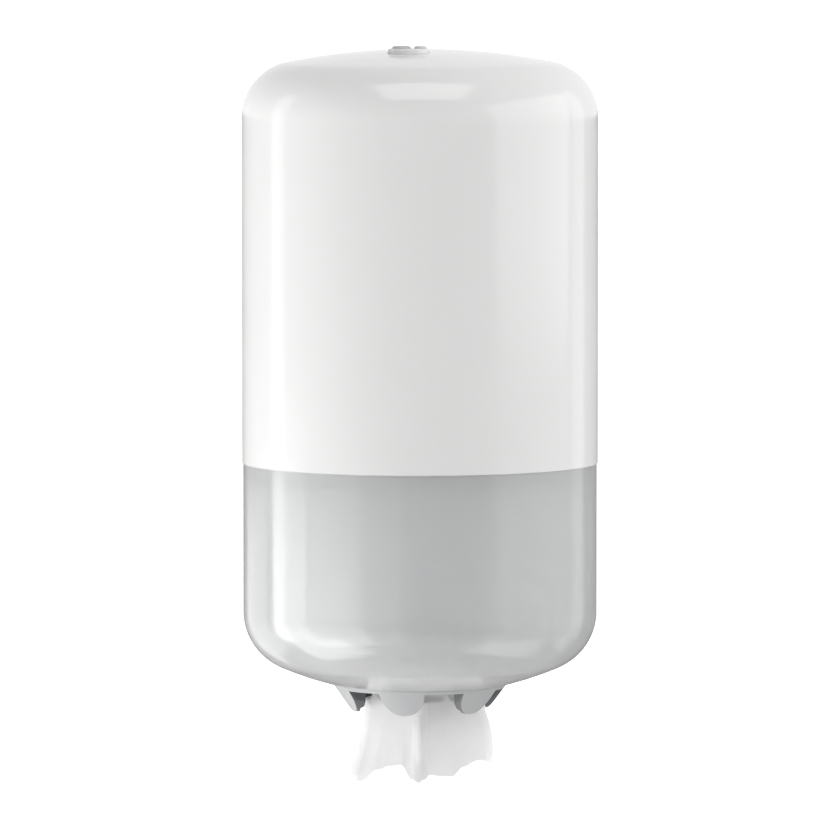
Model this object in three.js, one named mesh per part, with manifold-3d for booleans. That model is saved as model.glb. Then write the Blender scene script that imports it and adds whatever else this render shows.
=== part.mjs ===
import * as THREE from 'three'
import { mergeVertices } from 'three/addons/utils/BufferGeometryUtils.js'
import Module from 'manifold-3d'

// Centrefeed roll dispenser for a wall: a white cover on a bottom hinge holds an upright paper roll,
// whose inner end leaves through a turning nozzle with six rounded tearing lobes.
// Millimetres. Inside the group, z = 0 is the cover's lowest rim, x = y = 0 is the roll's axis,
// -Y is the front and +Z is up. The group puts the origin on the wall, behind the back plate.

const wasm = await Module()
wasm.setup()
const { Manifold, Mesh: SolidMesh } = wasm

// Driving dimensions of the whole
const bodyRadius = 86
const wallSetIn = 7
const shellHeight = 307.5
const mountHeight = 160
const flankAngle = THREE.MathUtils.degToRad(103)
const crownFillet = 27
const crownDomeRadius = 330
const bowlFillet = 29.2
const bowlDomeRadius = 174
const seamHeight = 107.7

// Gaps, and one overrun for every cut
const fitGap = 0.3
const runningGap = 0.4
const overrun = 5

// Cover shells
const upperWall = 2.5
const lowerWall = 2.4
const lowerInset = 0.5
const tongueWall = 1.8
const tongueHeight = 8
const tongueRoot = 7
const coverDepthGap = 12

// Back plate
const plateWall = 3
const plateRim = 2.5
const plateRibWidth = 1.6
const plateRibHeight = 3
const plateRibSpacing = 60
const plateRibBottom = 62
const plateRibTopDrop = 53
const wallHoleRadius = 2.5
const wallHoleBossRadius = 8
const wallHoleSpacing = 92
const wallHoleLow = 62
const wallHoleTopDrop = 67.5

// Hinge at the bottom rear edge
const hingeInset = 13
const hingeHeight = 17.5
const hingeSwing = 9.8
const swingHalfWidth = 52
const knuckleRadius = 5
const hingePinRadius = 2
const hingePinHeadRadius = 3.4
const hingePinHead = 1.2
const lugInner = 15
const lugWidth = 7
const earWidth = 6
const earArmHeight = 7

// Roll and the platform that it stands on
const seatTop = 24
const seatWall = 2.4
const seatSideGap = 13.5
const seatRimHeight = 6
const seatRimWall = 2
const seatThroatInset = 4.3
const seatThroatWall = 2.2
const seatThroatBottom = 13.8
const seatRearInset = 9
const seatPostRadius = 4.6
const seatPostInset = 9.5
const seatPostCount = 4
const rollSideGap = 5.5
const rollBore = 28
const rollHeadroom = 71.5
const rollEdge = 1.5

// Mouth, nozzle and its retaining ring, inward from the platform's posts
const retainerPostGap = 2.4
const retainerWidth = 8.4
const retainerLip = 2.3
const retainerOverlap = 4.3
const retainerScrewInset = 4
const retainerScrewCount = 3
const bearingTop = 8
const bearingRim = 1.5
const flangeReach = 5.3
const flangeThickness = 2.2
const collarLip = 0.7
const nozzleWall = 2
const nozzleRimDrop = 1.4
const lobeWall = 1.7
const lobeDrop = 12.4
const lobeTaper = 9.1
const lobeCount = 6
const lobeHalfWidth = THREE.MathUtils.degToRad(16)
const lobeRoundness = 2.4
const lobeRowShares = [0.25, 0.5, 0.75]
const lobeGapShares = [0.3, 0.7]
const finColumns = [1, 2]
const finTipWall = 2.3
const finRise = 3

// Screws
const screwRadius = 1.4
const screwHeadRadius = 3
const screwHeadHeight = 1.5
const screwLength = 7
const screwSlotWidth = 0.8
const screwSlotDepth = 0.7
const pilotClearance = 0.3

// Lock in the crown
const lockForward = 24
const bezelRadius = 10
const bezelStandProud = 1.9
const bezelFlangeRadius = 13
const bezelFlangeThickness = 2.5
const bezelFlangeDrop = 6.5
const buttonRadius = 4.6
const buttonOffset = 3.6
const buttonStandProud = 1.1
const buttonFlangeRadius = 5.2
const buttonFlangeThickness = 2.2
const buttonFootRadius = 2.2
const barrelRadius = 3
const barrelOffset = 5.8
const barrelCollarRadius = 3.8
const barrelCollarThickness = 1.8
const keySlotWidth = 0.9
const keySlotLength = 3.6
const keySlotDepth = 1.2

// Latch lever, its frame and its catch
const leverWidth = 12
const leverThickness = 3
const leverDrop = 15
const leverFrontReach = 7
const leverHubRadius = 4.5
const leverPinRadius = 1.6
const pivotBack = 20
const hookDepth = 2.5
const hookThickness = 3
const frameHalfGap = 10.5
const frameWall = 2.2
const frameFloorDepth = 7
const frameFront = 12
const frameRear = 14
const frameDrop = 9
const frameTabReach = 10
const frameTabWidth = 10
const frameTabThickness = 2
const frameBossRadius = 4
const frameFrontTab = -4
const frameRearTab = 28
const catchWidth = 18
const catchWall = 3.1
const catchBaseWall = 2.3
const catchShelfDepth = 5.6
const catchHeight = 18
const catchScrewSpacing = 10
const catchScrewUp = 4
const springRadius = 3.6
const springWire = 0.8
const springTurns = 4
const springStepsPerTurn = 8
const springSides = 5

// Paper tail
const tailTop = 62
const tailStrandRadius = 9
const tailMouthInset = 2.45
const tailMouthFullShare = 0.3
const tailMouthValleyShare = 0.86
const tailFlare = 4.75
const tailDrop = 34.8
const tailValleyDepth = 11
const tailValleyDrop = 22.5
const tailHollow = 14
const tailHollowShare = 0.55
const tailHollowFlareShare = 0.2
const tailHollowShares = [0, 0.35, 0.7]
const tailSkirtShares = [1, 0.8, 0.6, 0.4, 0.2, 0]
const tailThroatRise = 30
const tailThroatLeastShare = 0.9
const tailThroatPleatShare = 0.15
const tailThroats = [
  { riseShare: 0.267, widthShare: 0.78 },
  { riseShare: 0.6, widthShare: 0.618 },
  { riseShare: 1, widthShare: 0.423 },
]
const tailFoldSharpness = 1.4
const tailFolds = [
  { turn: -80, spread: 36, reachShare: 0.93, dropShare: 1 },
  { turn: -34, spread: 18, reachShare: 0.803, dropShare: 0.79 },
  { turn: 11, spread: 19, reachShare: 0.789, dropShare: 0.94 },
  { turn: 37, spread: 17, reachShare: 0.817, dropShare: 0.87 },
  { turn: 66, spread: 18, reachShare: 0.845, dropShare: 0.67 },
  { turn: 100, spread: 24, reachShare: 1, dropShare: 0.735 },
  { turn: 150, spread: 26, reachShare: 0.831, dropShare: 0.72 },
  { turn: 214, spread: 30, reachShare: 0.817, dropShare: 0.805 },
]

// Mesh fineness, in counts
const arcSteps = 32
const flankSteps = 2
const rearSteps = 8
const filletSteps = 6
const domeSteps = 4
const roundSegments = 40
const smallSegments = 12
const lobeSteps = 8
const tailColumns = 60
const weldDistance = 0.001

// Places worked out from the driving dimensions
const fullTurn = 2 * Math.PI
const wallDistance = bodyRadius - wallSetIn
const coverRear = wallDistance - coverDepthGap
const seatRadius = bodyRadius - seatSideGap
const seatRearCut = coverRear - seatRearInset
const seatPostRing = seatRadius - seatPostInset
const rollRadius = seatRadius - rollSideGap
const rollHeight = shellHeight - seatTop - rollHeadroom
const retainerOuter = seatPostRing - seatPostRadius - retainerPostGap
const retainerScrewRing = retainerOuter - retainerScrewInset
const bearingOuter = retainerOuter + bearingRim
const flangeRadius = retainerOuter - retainerWidth
const mouthRadius = flangeRadius - flangeReach
const collarRadius = mouthRadius + collarLip
const seatThroatRadius = mouthRadius - seatThroatInset
const lobeTipRadius = mouthRadius - lobeTaper
const finRadius = lobeTipRadius - finTipWall
const tailMouthRadius = lobeTipRadius - tailMouthInset
const tailReach = tailMouthRadius + tailFlare
const tailValleyRadius = tailReach - tailValleyDepth
const plateRibTop = shellHeight - plateRibTopDrop
const wallHoleHigh = shellHeight - wallHoleTopDrop
const leverTop = shellHeight - leverDrop
const frameTop = shellHeight - frameDrop
const hingeY = wallDistance - hingeInset
const lockY = -lockForward
const bowlCentre = Math.sqrt(bowlDomeRadius ** 2 - collarRadius ** 2)
const lockSurface = crownHeight(lockForward, 0)
const bezelTop = lockSurface + bezelStandProud
const bezelFlangeBottom = lockSurface - bezelFlangeDrop
const pivotZ = leverTop - leverThickness / 2
const hookFront = coverRear + catchWall - fitGap
const neckRadius = mouthRadius - runningGap
const flangeBottom = bearingTop + fitGap
const flangeTop = flangeBottom + flangeThickness
const retainerTop = flangeTop + fitGap + retainerLip

// Colours and finishes
const finish = {
  white: new THREE.MeshStandardMaterial({ color: 0xf2f2f1, roughness: 0.22, metalness: 0 }),
  smoke: new THREE.MeshStandardMaterial({ color: 0xd3d5d7, roughness: 0.2, metalness: 0 }),
  inner: new THREE.MeshStandardMaterial({ color: 0xe4e4e2, roughness: 0.45, metalness: 0 }),
  grey: new THREE.MeshStandardMaterial({ color: 0xa3a5a7, roughness: 0.4, metalness: 0 }),
  lightGrey: new THREE.MeshStandardMaterial({ color: 0xc2c4c6, roughness: 0.4, metalness: 0 }),
  darkGrey: new THREE.MeshStandardMaterial({ color: 0x5c5f62, roughness: 0.4, metalness: 0 }),
  steel: new THREE.MeshStandardMaterial({ color: 0xb9bbbd, roughness: 0.3, metalness: 1 }),
  paper: new THREE.MeshStandardMaterial({ color: 0xf6f6f4, roughness: 0.9, metalness: 0 }),
}

// Turn a closed geometry into a solid for joins and cuts, and back again
function toSolid(geometry) {
  const bare = geometry.clone()
  bare.deleteAttribute('normal')
  bare.deleteAttribute('uv')
  const merged = mergeVertices(bare, weldDistance)
  return new Manifold(new SolidMesh({
    numProp: 3,
    vertProperties: Float32Array.from(merged.attributes.position.array),
    triVerts: Uint32Array.from(merged.index.array),
  }))
}

function toGeometry(solid) {
  const { numProp, vertProperties, triVerts } = solid.getMesh()
  const points = new Float32Array(vertProperties.length / numProp * 3)
  for (let i = 0; i < points.length / 3; i++) {
    for (let k = 0; k < 3; k++) points[3 * i + k] = vertProperties[numProp * i + k]
  }
  const geometry = new THREE.BufferGeometry()
  geometry.setAttribute('position', new THREE.BufferAttribute(points, 3))
  geometry.setIndex(new THREE.BufferAttribute(Uint32Array.from(triVerts), 1))
  geometry.computeVertexNormals()
  return geometry
}

// Small closed solids, all placed in the cover's own frame
function box(low, high) {
  const size = low.map((value, i) => high[i] - value)
  const geometry = new THREE.BoxGeometry(...size)
  geometry.translate(...low.map((value, i) => value + size[i] / 2))
  return toSolid(geometry)
}

function latheGeometry(profile, segments = roundSegments) {
  const area = THREE.ShapeUtils.area(profile.map(([r, z]) => new THREE.Vector2(r, z)))
  const ordered = area > 0 ? profile : [...profile].reverse()
  const points = [...ordered, ordered[0]].map(([r, z]) => new THREE.Vector2(r, z))
  const geometry = new THREE.LatheGeometry(points, segments)
  geometry.rotateX(Math.PI / 2)
  return geometry
}

function lathe(profile, segments = roundSegments) {
  return toSolid(latheGeometry(profile, segments))
}

function post(radius, bottom, top, x, y, segments = smallSegments) {
  return lathe([[0, bottom], [radius, bottom], [radius, top], [0, top]], segments).translate([x, y, 0])
}

function rodAlongX(radius, left, right, y, z) {
  const geometry = new THREE.CylinderGeometry(radius, radius, right - left, smallSegments)
  geometry.rotateZ(Math.PI / 2)
  geometry.translate((left + right) / 2, y, z)
  return toSolid(geometry)
}

function rodAlongY(radius, front, back, x, z) {
  const geometry = new THREE.CylinderGeometry(radius, radius, back - front, smallSegments)
  geometry.translate(x, (front + back) / 2, z)
  return toSolid(geometry)
}

// Heights of the crown's dome and of the bowl under the cover, at a radius from the roll's axis
function crownHeight(radius, inset) {
  const dome = crownDomeRadius - inset
  return shellHeight - crownDomeRadius + Math.sqrt(dome ** 2 - radius ** 2)
}

function bowlHeight(radius, inset) {
  const dome = bowlDomeRadius - inset
  return bowlCentre - Math.sqrt(dome ** 2 - radius ** 2)
}

// One column of the plan outline, moved in from the outer face by a distance:
// a round front, straight flanks that run back past the wall, and a straight closing edge behind it
function outlinePoint(column, inset, rear) {
  const radius = bodyRadius - inset
  if (column <= arcSteps) {
    const turn = flankAngle * (2 * column / arcSteps - 1)
    return [radius * Math.sin(turn), -radius * Math.cos(turn)]
  }
  const tangent = [radius * Math.sin(flankAngle), -radius * Math.cos(flankAngle)]
  const end = [(radius + rear * Math.cos(flankAngle)) / Math.sin(flankAngle), rear]
  const pastFlank = column - arcSteps - flankSteps
  if (pastFlank > 0 && pastFlank < rearSteps) return [end[0] * (1 - 2 * pastFlank / rearSteps), rear]
  const onRight = pastFlank <= 0
  const step = onRight ? column - arcSteps : outlineColumns - column
  const share = step / flankSteps
  const x = tangent[0] + (end[0] - tangent[0]) * share
  const y = tangent[1] + (end[1] - tangent[1]) * share
  return [onRight ? x : -x, y]
}

const outlineColumns = arcSteps + 2 * flankSteps + rearSteps
const outlineRear = wallDistance + overrun

// A closed body of the dispenser's own form, moved in from its outer face by a distance:
// bowl, lower fillet, wall, upper fillet and crown
function bodySolid(inset) {
  const topFillet = crownFillet - inset
  const lowFillet = bowlFillet - inset
  const topCentre = bodyRadius - crownFillet
  const lowCentre = bodyRadius - bowlFillet
  const topTurn = Math.asin(topCentre / (crownDomeRadius - crownFillet))
  const lowTurn = Math.asin(lowCentre / (bowlDomeRadius - bowlFillet))
  const topCentreZ = shellHeight - crownDomeRadius + (crownDomeRadius - crownFillet) * Math.cos(topTurn)
  const lowCentreZ = bowlCentre - (bowlDomeRadius - bowlFillet) * Math.cos(lowTurn)
  const rings = []

  function addDome(heightAt, meetInset, share) {
    rings.push(columnsOf((column) => {
      const [x, y] = outlinePoint(column, meetInset, outlineRear)
      return [x * share, y * share, heightAt(Math.hypot(x, y) * share, inset)]
    }))
  }

  function addFillet(radius, centreZ, up, turn, meetInset, heightAt) {
    const meetRadius = bodyRadius - meetInset
    rings.push(columnsOf((column) => {
      const ringInset = inset + radius * (1 - Math.sin(turn))
      const [x, y] = outlinePoint(column, ringInset, outlineRear)
      const [meetX, meetY] = outlinePoint(column, meetInset, outlineRear)
      const shift = heightAt(Math.hypot(meetX, meetY), inset) - heightAt(meetRadius, inset)
      return [x, y, centreZ + up * radius * Math.cos(turn) + shift]
    }))
  }

  const lowMeet = inset + lowFillet * (1 - Math.sin(lowTurn))
  const topMeet = inset + topFillet * (1 - Math.sin(topTurn))
  for (let k = 1; k < domeSteps; k++) addDome(bowlHeight, lowMeet, k / domeSteps)
  for (let k = 0; k <= filletSteps; k++) {
    const turn = lowTurn + (Math.PI / 2 - lowTurn) * k / filletSteps
    addFillet(lowFillet, lowCentreZ, -1, turn, lowMeet, bowlHeight)
  }
  for (let k = filletSteps; k >= 0; k--) {
    const turn = topTurn + (Math.PI / 2 - topTurn) * k / filletSteps
    addFillet(topFillet, topCentreZ, 1, turn, topMeet, crownHeight)
  }
  for (let k = domeSteps - 1; k > 0; k--) addDome(crownHeight, topMeet, k / domeSteps)
  return toSolid(ringGeometry(rings, [0, 0, bowlHeight(0, inset)], [0, 0, crownHeight(0, inset)]))
}

function columnsOf(pointAt) {
  return Array.from({ length: outlineColumns }, (_, column) => pointAt(column))
}

// A closed skin over a stack of rings, with a fan to one point at each end
function ringGeometry(rings, bottom, top) {
  const count = rings[0].length
  const points = [...rings.flat(), bottom, top]
  const bottomIndex = rings.length * count
  const topIndex = bottomIndex + 1
  const faces = []
  for (let j = 0; j < count; j++) {
    const next = (j + 1) % count
    for (let k = 0; k + 1 < rings.length; k++) {
      const low = k * count
      const high = low + count
      faces.push(low + j, low + next, high + j, low + next, high + next, high + j)
    }
    const last = (rings.length - 1) * count
    faces.push(bottomIndex, next, j, topIndex, last + j, last + next)
  }
  const geometry = new THREE.BufferGeometry()
  geometry.setAttribute('position', new THREE.Float32BufferAttribute(points.flat(), 3))
  geometry.setIndex(faces)
  geometry.computeVertexNormals()
  return geometry
}

// A straight-sided prism on the same outline
function prism(inset, bottom, top) {
  const outline = columnsOf((column) => outlinePoint(column, inset, outlineRear))
  const shape = new THREE.Shape(outline.map(([x, y]) => new THREE.Vector2(x, y)))
  const options = { depth: top - bottom, bevelEnabled: false, curveSegments: 1 }
  const geometry = new THREE.ExtrudeGeometry(shape, options)
  geometry.translate(0, 0, bottom)
  return toSolid(geometry)
}

// Everything behind, above or below a plane, as a block to cut with
const reach = shellHeight + wallDistance
const behind = (y) => box([-reach, y, -reach], [reach, y + reach, 2 * reach])
const inFrontOf = (y) => box([-reach, -reach, -reach], [reach, y, 2 * reach])
const above = (z) => box([-reach, -reach, z], [reach, reach, z + 2 * reach])
const below = (z) => box([-reach, -reach, z - 2 * reach], [reach, reach, z])

const group = new THREE.Group()
group.position.set(0, -wallDistance, -mountHeight)

function add(name, shape, material) {
  const geometry = shape.isBufferGeometry ? shape : toGeometry(shape)
  const mesh = new THREE.Mesh(geometry, material)
  mesh.name = name
  group.add(mesh)
}

// Screws: a slotted pan head on a plain shank, with the head's seat at z = 0 and the head above it
function screwSolid(length) {
  const body = lathe([
    [0, -length], [screwRadius, -length + screwRadius], [screwRadius, 0], [screwHeadRadius, 0],
    [screwHeadRadius, screwHeadHeight], [0, screwHeadHeight],
  ], smallSegments)
  const half = screwSlotWidth / 2
  const slotBottom = screwHeadHeight - screwSlotDepth
  const slot = box([-screwHeadRadius, -half, slotBottom], [screwHeadRadius, half, screwHeadHeight + overrun])
  return body.subtract(slot)
}

// Places round a circle about the roll's axis
function around(count, radius, first) {
  return Array.from({ length: count }, (_, i) => {
    const turn = first + fullTurn * i / count
    return [radius * Math.cos(turn), radius * Math.sin(turn)]
  })
}

const seatPosts = around(seatPostCount, seatPostRing, fullTurn / 8)
const retainerScrews = around(retainerScrewCount, retainerScrewRing, fullTurn / 4)
const frameTabs = [frameFrontTab, frameRearTab].flatMap((y) => [-1, 1].map((side) => {
  return [side * (frameHalfGap + frameWall + frameTabReach / 2), y]
}))

// Upper cover shell: white, open at the back and below, with the lock's hole and four bosses in the crown
function upperShell() {
  let hollow = bodySolid(upperWall)
  for (const [x, y] of frameTabs) {
    hollow = hollow.subtract(post(frameBossRadius, frameTop + fitGap, shellHeight, x, y))
  }
  let shell = bodySolid(0).subtract(hollow).subtract(below(seamHeight)).subtract(behind(coverRear))
  const holeTop = shellHeight + overrun
  shell = shell.subtract(post(bezelRadius + fitGap, bezelFlangeBottom, holeTop, 0, lockY, roundSegments))
  for (const [x, y] of frameTabs) {
    const depth = frameTop - frameTabThickness - fitGap + screwLength + pilotClearance
    shell = shell.subtract(post(screwRadius + pilotClearance, frameTop, depth, x, y))
  }
  return shell
}

// Lower cover shell: translucent, with a tongue inside the seam, the nozzle's bearing, the posts and the lugs
function lowerShell() {
  const inset = lowerInset + lowerWall
  let hollow = bodySolid(inset)
  const bearing = post(bearingOuter, -overrun, bearingTop, 0, 0, roundSegments)
  hollow = hollow.subtract(bearing)
  for (const [x, y] of seatPosts) {
    hollow = hollow.subtract(post(seatPostRadius, 0, seatTop - seatWall - fitGap, x, y))
  }
  for (const side of [-1, 1]) hollow = hollow.subtract(lug(side))
  let shell = bodySolid(lowerInset).subtract(hollow).subtract(above(seamHeight))
  const root = prism(lowerInset + lowerWall / 2, seamHeight - tongueRoot, seamHeight)
  const rise = prism(upperWall + fitGap, seamHeight - tongueRoot, seamHeight + tongueHeight)
  const coreTop = seamHeight + tongueHeight + overrun
  const core = prism(upperWall + fitGap + tongueWall, seamHeight - tongueRoot - overrun, coreTop)
  shell = shell.add(root.add(rise).subtract(core)).subtract(behind(coverRear))
  for (const side of [-1, 1]) shell = shell.add(lug(side).subtract(inFrontOf(coverRear - knuckleRadius)))
  shell = shell.subtract(post(mouthRadius, -bowlDomeRadius, bearingTop + overrun, 0, 0, roundSegments))
  shell = shell.subtract(post(retainerOuter + fitGap, bearingTop, retainerTop + fitGap, 0, 0, roundSegments))
  shell = shell.subtract(rodAlongX(hingePinRadius + fitGap, -bodyRadius, bodyRadius, hingeY, hingeHeight))
  for (const side of [-1, 1]) {
    const left = earLeft(side) - runningGap
    const right = earLeft(side) + earWidth + runningGap
    shell = shell.subtract(rodAlongX(knuckleRadius + runningGap, left, right, hingeY, hingeHeight))
    const headEnd = hingePinHead + fitGap + runningGap
    const [headLeft, headRight] = side > 0 ? [left, right + headEnd] : [left - headEnd, right]
    const headRoom = hingePinHeadRadius + runningGap
    shell = shell.subtract(rodAlongX(headRoom, headLeft, headRight, hingeY, hingeHeight))
  }
  const pilot = screwRadius + pilotClearance
  const retainerPilotEnd = retainerTop + fitGap - screwLength - pilotClearance
  for (const [x, y] of retainerScrews) {
    shell = shell.subtract(post(pilot, retainerPilotEnd, retainerTop, x, y))
  }
  for (const [x, y] of seatPosts) {
    shell = shell.subtract(post(pilot, seatTop - screwHeadHeight - screwLength, seatTop, x, y))
  }
  return shell
}

// One hinge lug of the cover: a round knuckle with a foot down to the bowl
function lug(side) {
  const left = side > 0 ? lugInner : -lugInner - lugWidth
  const right = left + lugWidth
  const knuckle = rodAlongX(knuckleRadius, left, right, hingeY, hingeHeight)
  const footBottom = bowlHeight(hingeY, lowerInset)
  const foot = box([left, hingeY - knuckleRadius, footBottom], [right, coverRear, hingeHeight])
  return knuckle.add(foot)
}

// Back plate: a shallow tray of the same outline, with ribs, screw bosses and hinge ears
function backPlate() {
  const front = coverRear + runningGap
  const floor = wallDistance - plateWall
  const hollow = bodySolid(plateRim).subtract(behind(floor))
  let plate = bodySolid(0).subtract(hollow)
  plate = plate.subtract(inFrontOf(front)).subtract(behind(wallDistance))
  plate = plate.subtract(rodAlongX(hingeSwing, -swingHalfWidth, swingHalfWidth, hingeY, hingeHeight))
  for (const side of [-1, 1]) {
    const ribX = side * plateRibSpacing / 2
    const half = plateRibWidth / 2
    const ribFront = floor - plateRibHeight
    const ribBack = floor + plateWall / 2
    plate = plate.add(box([ribX - half, ribFront, plateRibBottom], [ribX + half, ribBack, plateRibTop]))
    for (const z of [wallHoleLow, wallHoleHigh]) {
      const x = side * wallHoleSpacing / 2
      plate = plate.add(rodAlongY(wallHoleBossRadius, ribFront, ribBack, x, z))
      plate = plate.subtract(rodAlongY(wallHoleRadius, ribFront - overrun, wallDistance + overrun, x, z))
    }
    plate = plate.add(ear(side, floor))
    const screwX = side * catchScrewSpacing / 2
    const pilotEnd = catchScrewTip() + pilotClearance
    const pilot = rodAlongY(screwRadius + pilotClearance, floor - overrun, pilotEnd, screwX, catchScrewZ())
    plate = plate.subtract(pilot)
  }
  return plate.subtract(rodAlongX(hingePinRadius + fitGap, -bodyRadius, bodyRadius, hingeY, hingeHeight))
}

function earLeft(side) {
  const inner = lugInner + lugWidth + runningGap
  return side > 0 ? inner : -inner - earWidth
}

function ear(side, floor) {
  const left = earLeft(side)
  const right = left + earWidth
  const knuckle = rodAlongX(knuckleRadius, left, right, hingeY, hingeHeight)
  const arm = box([left, hingeY, hingeHeight], [right, floor + plateWall / 2, hingeHeight + earArmHeight])
  return knuckle.add(arm)
}

// Hinge pin: a headed pin through one lug and one ear
function hingePin(side) {
  const earEnd = lugInner + lugWidth + runningGap + earWidth + fitGap
  const pinEnd = lugInner - hingePinHead
  const [left, right] = side > 0 ? [pinEnd, earEnd] : [-earEnd, -pinEnd]
  const [headLeft, headRight] = side > 0 ? [earEnd, earEnd + hingePinHead] : [-earEnd - hingePinHead, -earEnd]
  return rodAlongX(hingePinRadius, left, right, hingeY, hingeHeight)
    .add(rodAlongX(hingePinHeadRadius, headLeft, headRight, hingeY, hingeHeight))
}

// Nozzle: a flange and neck that turn in the mouth, and a cone that ends in rounded lobes,
// each with a fin inward from both of its sides
function nozzle() {
  const columns = []
  const pitch = fullTurn / lobeCount
  for (let lobe = 0; lobe < lobeCount; lobe++) {
    const centre = lobe * pitch - fullTurn / 4
    for (let k = 0; k <= lobeSteps; k++) {
      const across = -Math.cos(Math.PI * k / lobeSteps)
      const drop = (1 - Math.abs(across) ** lobeRoundness) ** (1 / lobeRoundness)
      const fin = finColumns.includes(Math.min(k, lobeSteps - k))
      columns.push({ turn: centre + across * lobeHalfWidth, drop, fin })
    }
    const gapStart = centre + lobeHalfWidth
    const gapWidth = pitch - 2 * lobeHalfWidth
    for (const share of lobeGapShares) columns.push({ turn: gapStart + gapWidth * share, drop: 0 })
  }
  const coneSlope = (neckRadius - lobeTipRadius) / lobeDrop
  const loops = columns.map(({ turn, drop, fin }) => {
    const depth = nozzleRimDrop + (lobeDrop - nozzleRimDrop) * drop
    const outer = (z) => neckRadius - coneSlope * z
    const innerWall = lobeWall * Math.hypot(1, coneSlope)
    const inner = (z) => Math.min(outer(z) - innerWall, fin ? finRadius : neckRadius - nozzleWall)
    const rows = lobeRowShares.map((share) => depth * share)
    const profile = [
      [flangeRadius, flangeBottom], [flangeRadius, flangeTop], [neckRadius - nozzleWall, flangeTop],
      [neckRadius - nozzleWall, finRise], [inner(0), 0],
      ...rows.map((z) => [inner(z), -z]),
      [inner(depth), -depth], [outer(depth), -depth],
      ...rows.reverse().map((z) => [outer(z), -z]),
      [neckRadius, 0], [neckRadius, flangeBottom],
    ]
    return profile.map(([r, z]) => [r * Math.cos(turn), r * Math.sin(turn), z])
  })
  return loopGeometry(loops)
}

// A closed ring from one closed profile loop per column
function loopGeometry(loops) {
  const count = loops[0].length
  const faces = []
  for (let j = 0; j < loops.length; j++) {
    const here = j * count
    const next = ((j + 1) % loops.length) * count
    for (let k = 0; k < count; k++) {
      const after = (k + 1) % count
      faces.push(here + k, next + k, here + after, next + k, next + after, here + after)
    }
  }
  const geometry = new THREE.BufferGeometry()
  geometry.setAttribute('position', new THREE.Float32BufferAttribute(loops.flat().flat(), 3))
  geometry.setIndex(faces)
  geometry.computeVertexNormals()
  return geometry
}

// Retaining ring: sits on the bearing and overlaps the nozzle's flange
function nozzleRetainer() {
  const lipInner = flangeRadius - retainerOverlap
  const stepRadius = flangeRadius + runningGap
  const lipBottom = flangeTop + fitGap
  let ring = lathe([
    [lipInner, lipBottom], [stepRadius, lipBottom], [stepRadius, flangeBottom],
    [retainerOuter, flangeBottom], [retainerOuter, retainerTop], [lipInner, retainerTop],
  ])
  for (const [x, y] of retainerScrews) {
    ring = ring.subtract(post(screwRadius + pilotClearance, 0, seatTop, x, y))
  }
  return ring
}

// Roll seat: a platform with a rim round the roll and a throat down to the nozzle
function rollSeat() {
  const bottom = seatTop - seatWall
  let seat = lathe([
    [seatThroatRadius, seatThroatBottom], [seatThroatRadius + seatThroatWall, seatThroatBottom],
    [seatThroatRadius + seatThroatWall, bottom], [seatRadius, bottom], [seatRadius, seatTop + seatRimHeight],
    [seatRadius - seatRimWall, seatTop + seatRimHeight], [seatRadius - seatRimWall, seatTop],
    [seatThroatRadius, seatTop],
  ]).subtract(behind(seatRearCut))
  for (const [x, y] of seatPosts) {
    seat = seat.subtract(post(screwRadius + pilotClearance, 0, seatTop + overrun, x, y))
    const sinkBottom = seatTop - screwHeadHeight - fitGap
    seat = seat.subtract(post(screwHeadRadius + fitGap, sinkBottom, seatTop + overrun, x, y))
  }
  return seat
}

// Paper roll: wound paper with an open bore, standing on the seat
function paperRoll() {
  const bottom = seatTop + fitGap
  const top = bottom + rollHeight
  return latheGeometry([
    [rollBore, bottom], [rollRadius - rollEdge, bottom], [rollRadius, bottom + rollEdge],
    [rollRadius, top - rollEdge], [rollRadius - rollEdge, top], [rollBore, top],
  ])
}

// Lock bezel: a round boss through the crown, trapped by its flange
function lockBezel() {
  const flangeZ = bezelFlangeBottom + bezelFlangeThickness
  let bezel = lathe([
    [0, bezelFlangeBottom], [bezelFlangeRadius, bezelFlangeBottom], [bezelFlangeRadius, flangeZ],
    [bezelRadius, flangeZ], [bezelRadius, bezelTop - bezelStandProud / 2],
    [bezelRadius - bezelStandProud / 2, bezelTop], [0, bezelTop],
  ]).translate([0, lockY, 0])
  bezel = bezel.subtract(post(buttonRadius + fitGap, 0, shellHeight + reach, -buttonOffset, lockY))
  return bezel.subtract(post(barrelRadius + fitGap, 0, shellHeight + reach, barrelOffset, lockY))
}

function lockButton() {
  const top = bezelTop + buttonStandProud
  const flangeZ = bezelFlangeBottom - fitGap
  const flangeBack = flangeZ - buttonFlangeThickness
  return latheGeometry([
    [0, leverTop + fitGap], [buttonFootRadius, leverTop + fitGap],
    [buttonFootRadius, flangeBack], [buttonFlangeRadius, flangeBack],
    [buttonFlangeRadius, flangeZ], [buttonRadius, flangeZ], [buttonRadius, top - buttonStandProud],
    [buttonRadius - buttonStandProud, top], [0, top],
  ], roundSegments / 2).translate(-buttonOffset, lockY, 0)
}

function keyBarrel() {
  const top = bezelTop + buttonStandProud
  const collarZ = bezelFlangeBottom - fitGap
  const barrel = lathe([
    [0, collarZ - barrelCollarThickness], [barrelCollarRadius, collarZ - barrelCollarThickness],
    [barrelCollarRadius, collarZ], [barrelRadius, collarZ], [barrelRadius, top - buttonStandProud / 2],
    [barrelRadius - buttonStandProud / 2, top], [0, top],
  ], roundSegments / 2)
  const slot = box(
    [-keySlotWidth / 2, -keySlotLength / 2, top - keySlotDepth],
    [keySlotWidth / 2, keySlotLength / 2, top + overrun])
  return barrel.subtract(slot).translate([barrelOffset, lockY, 0])
}

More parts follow.
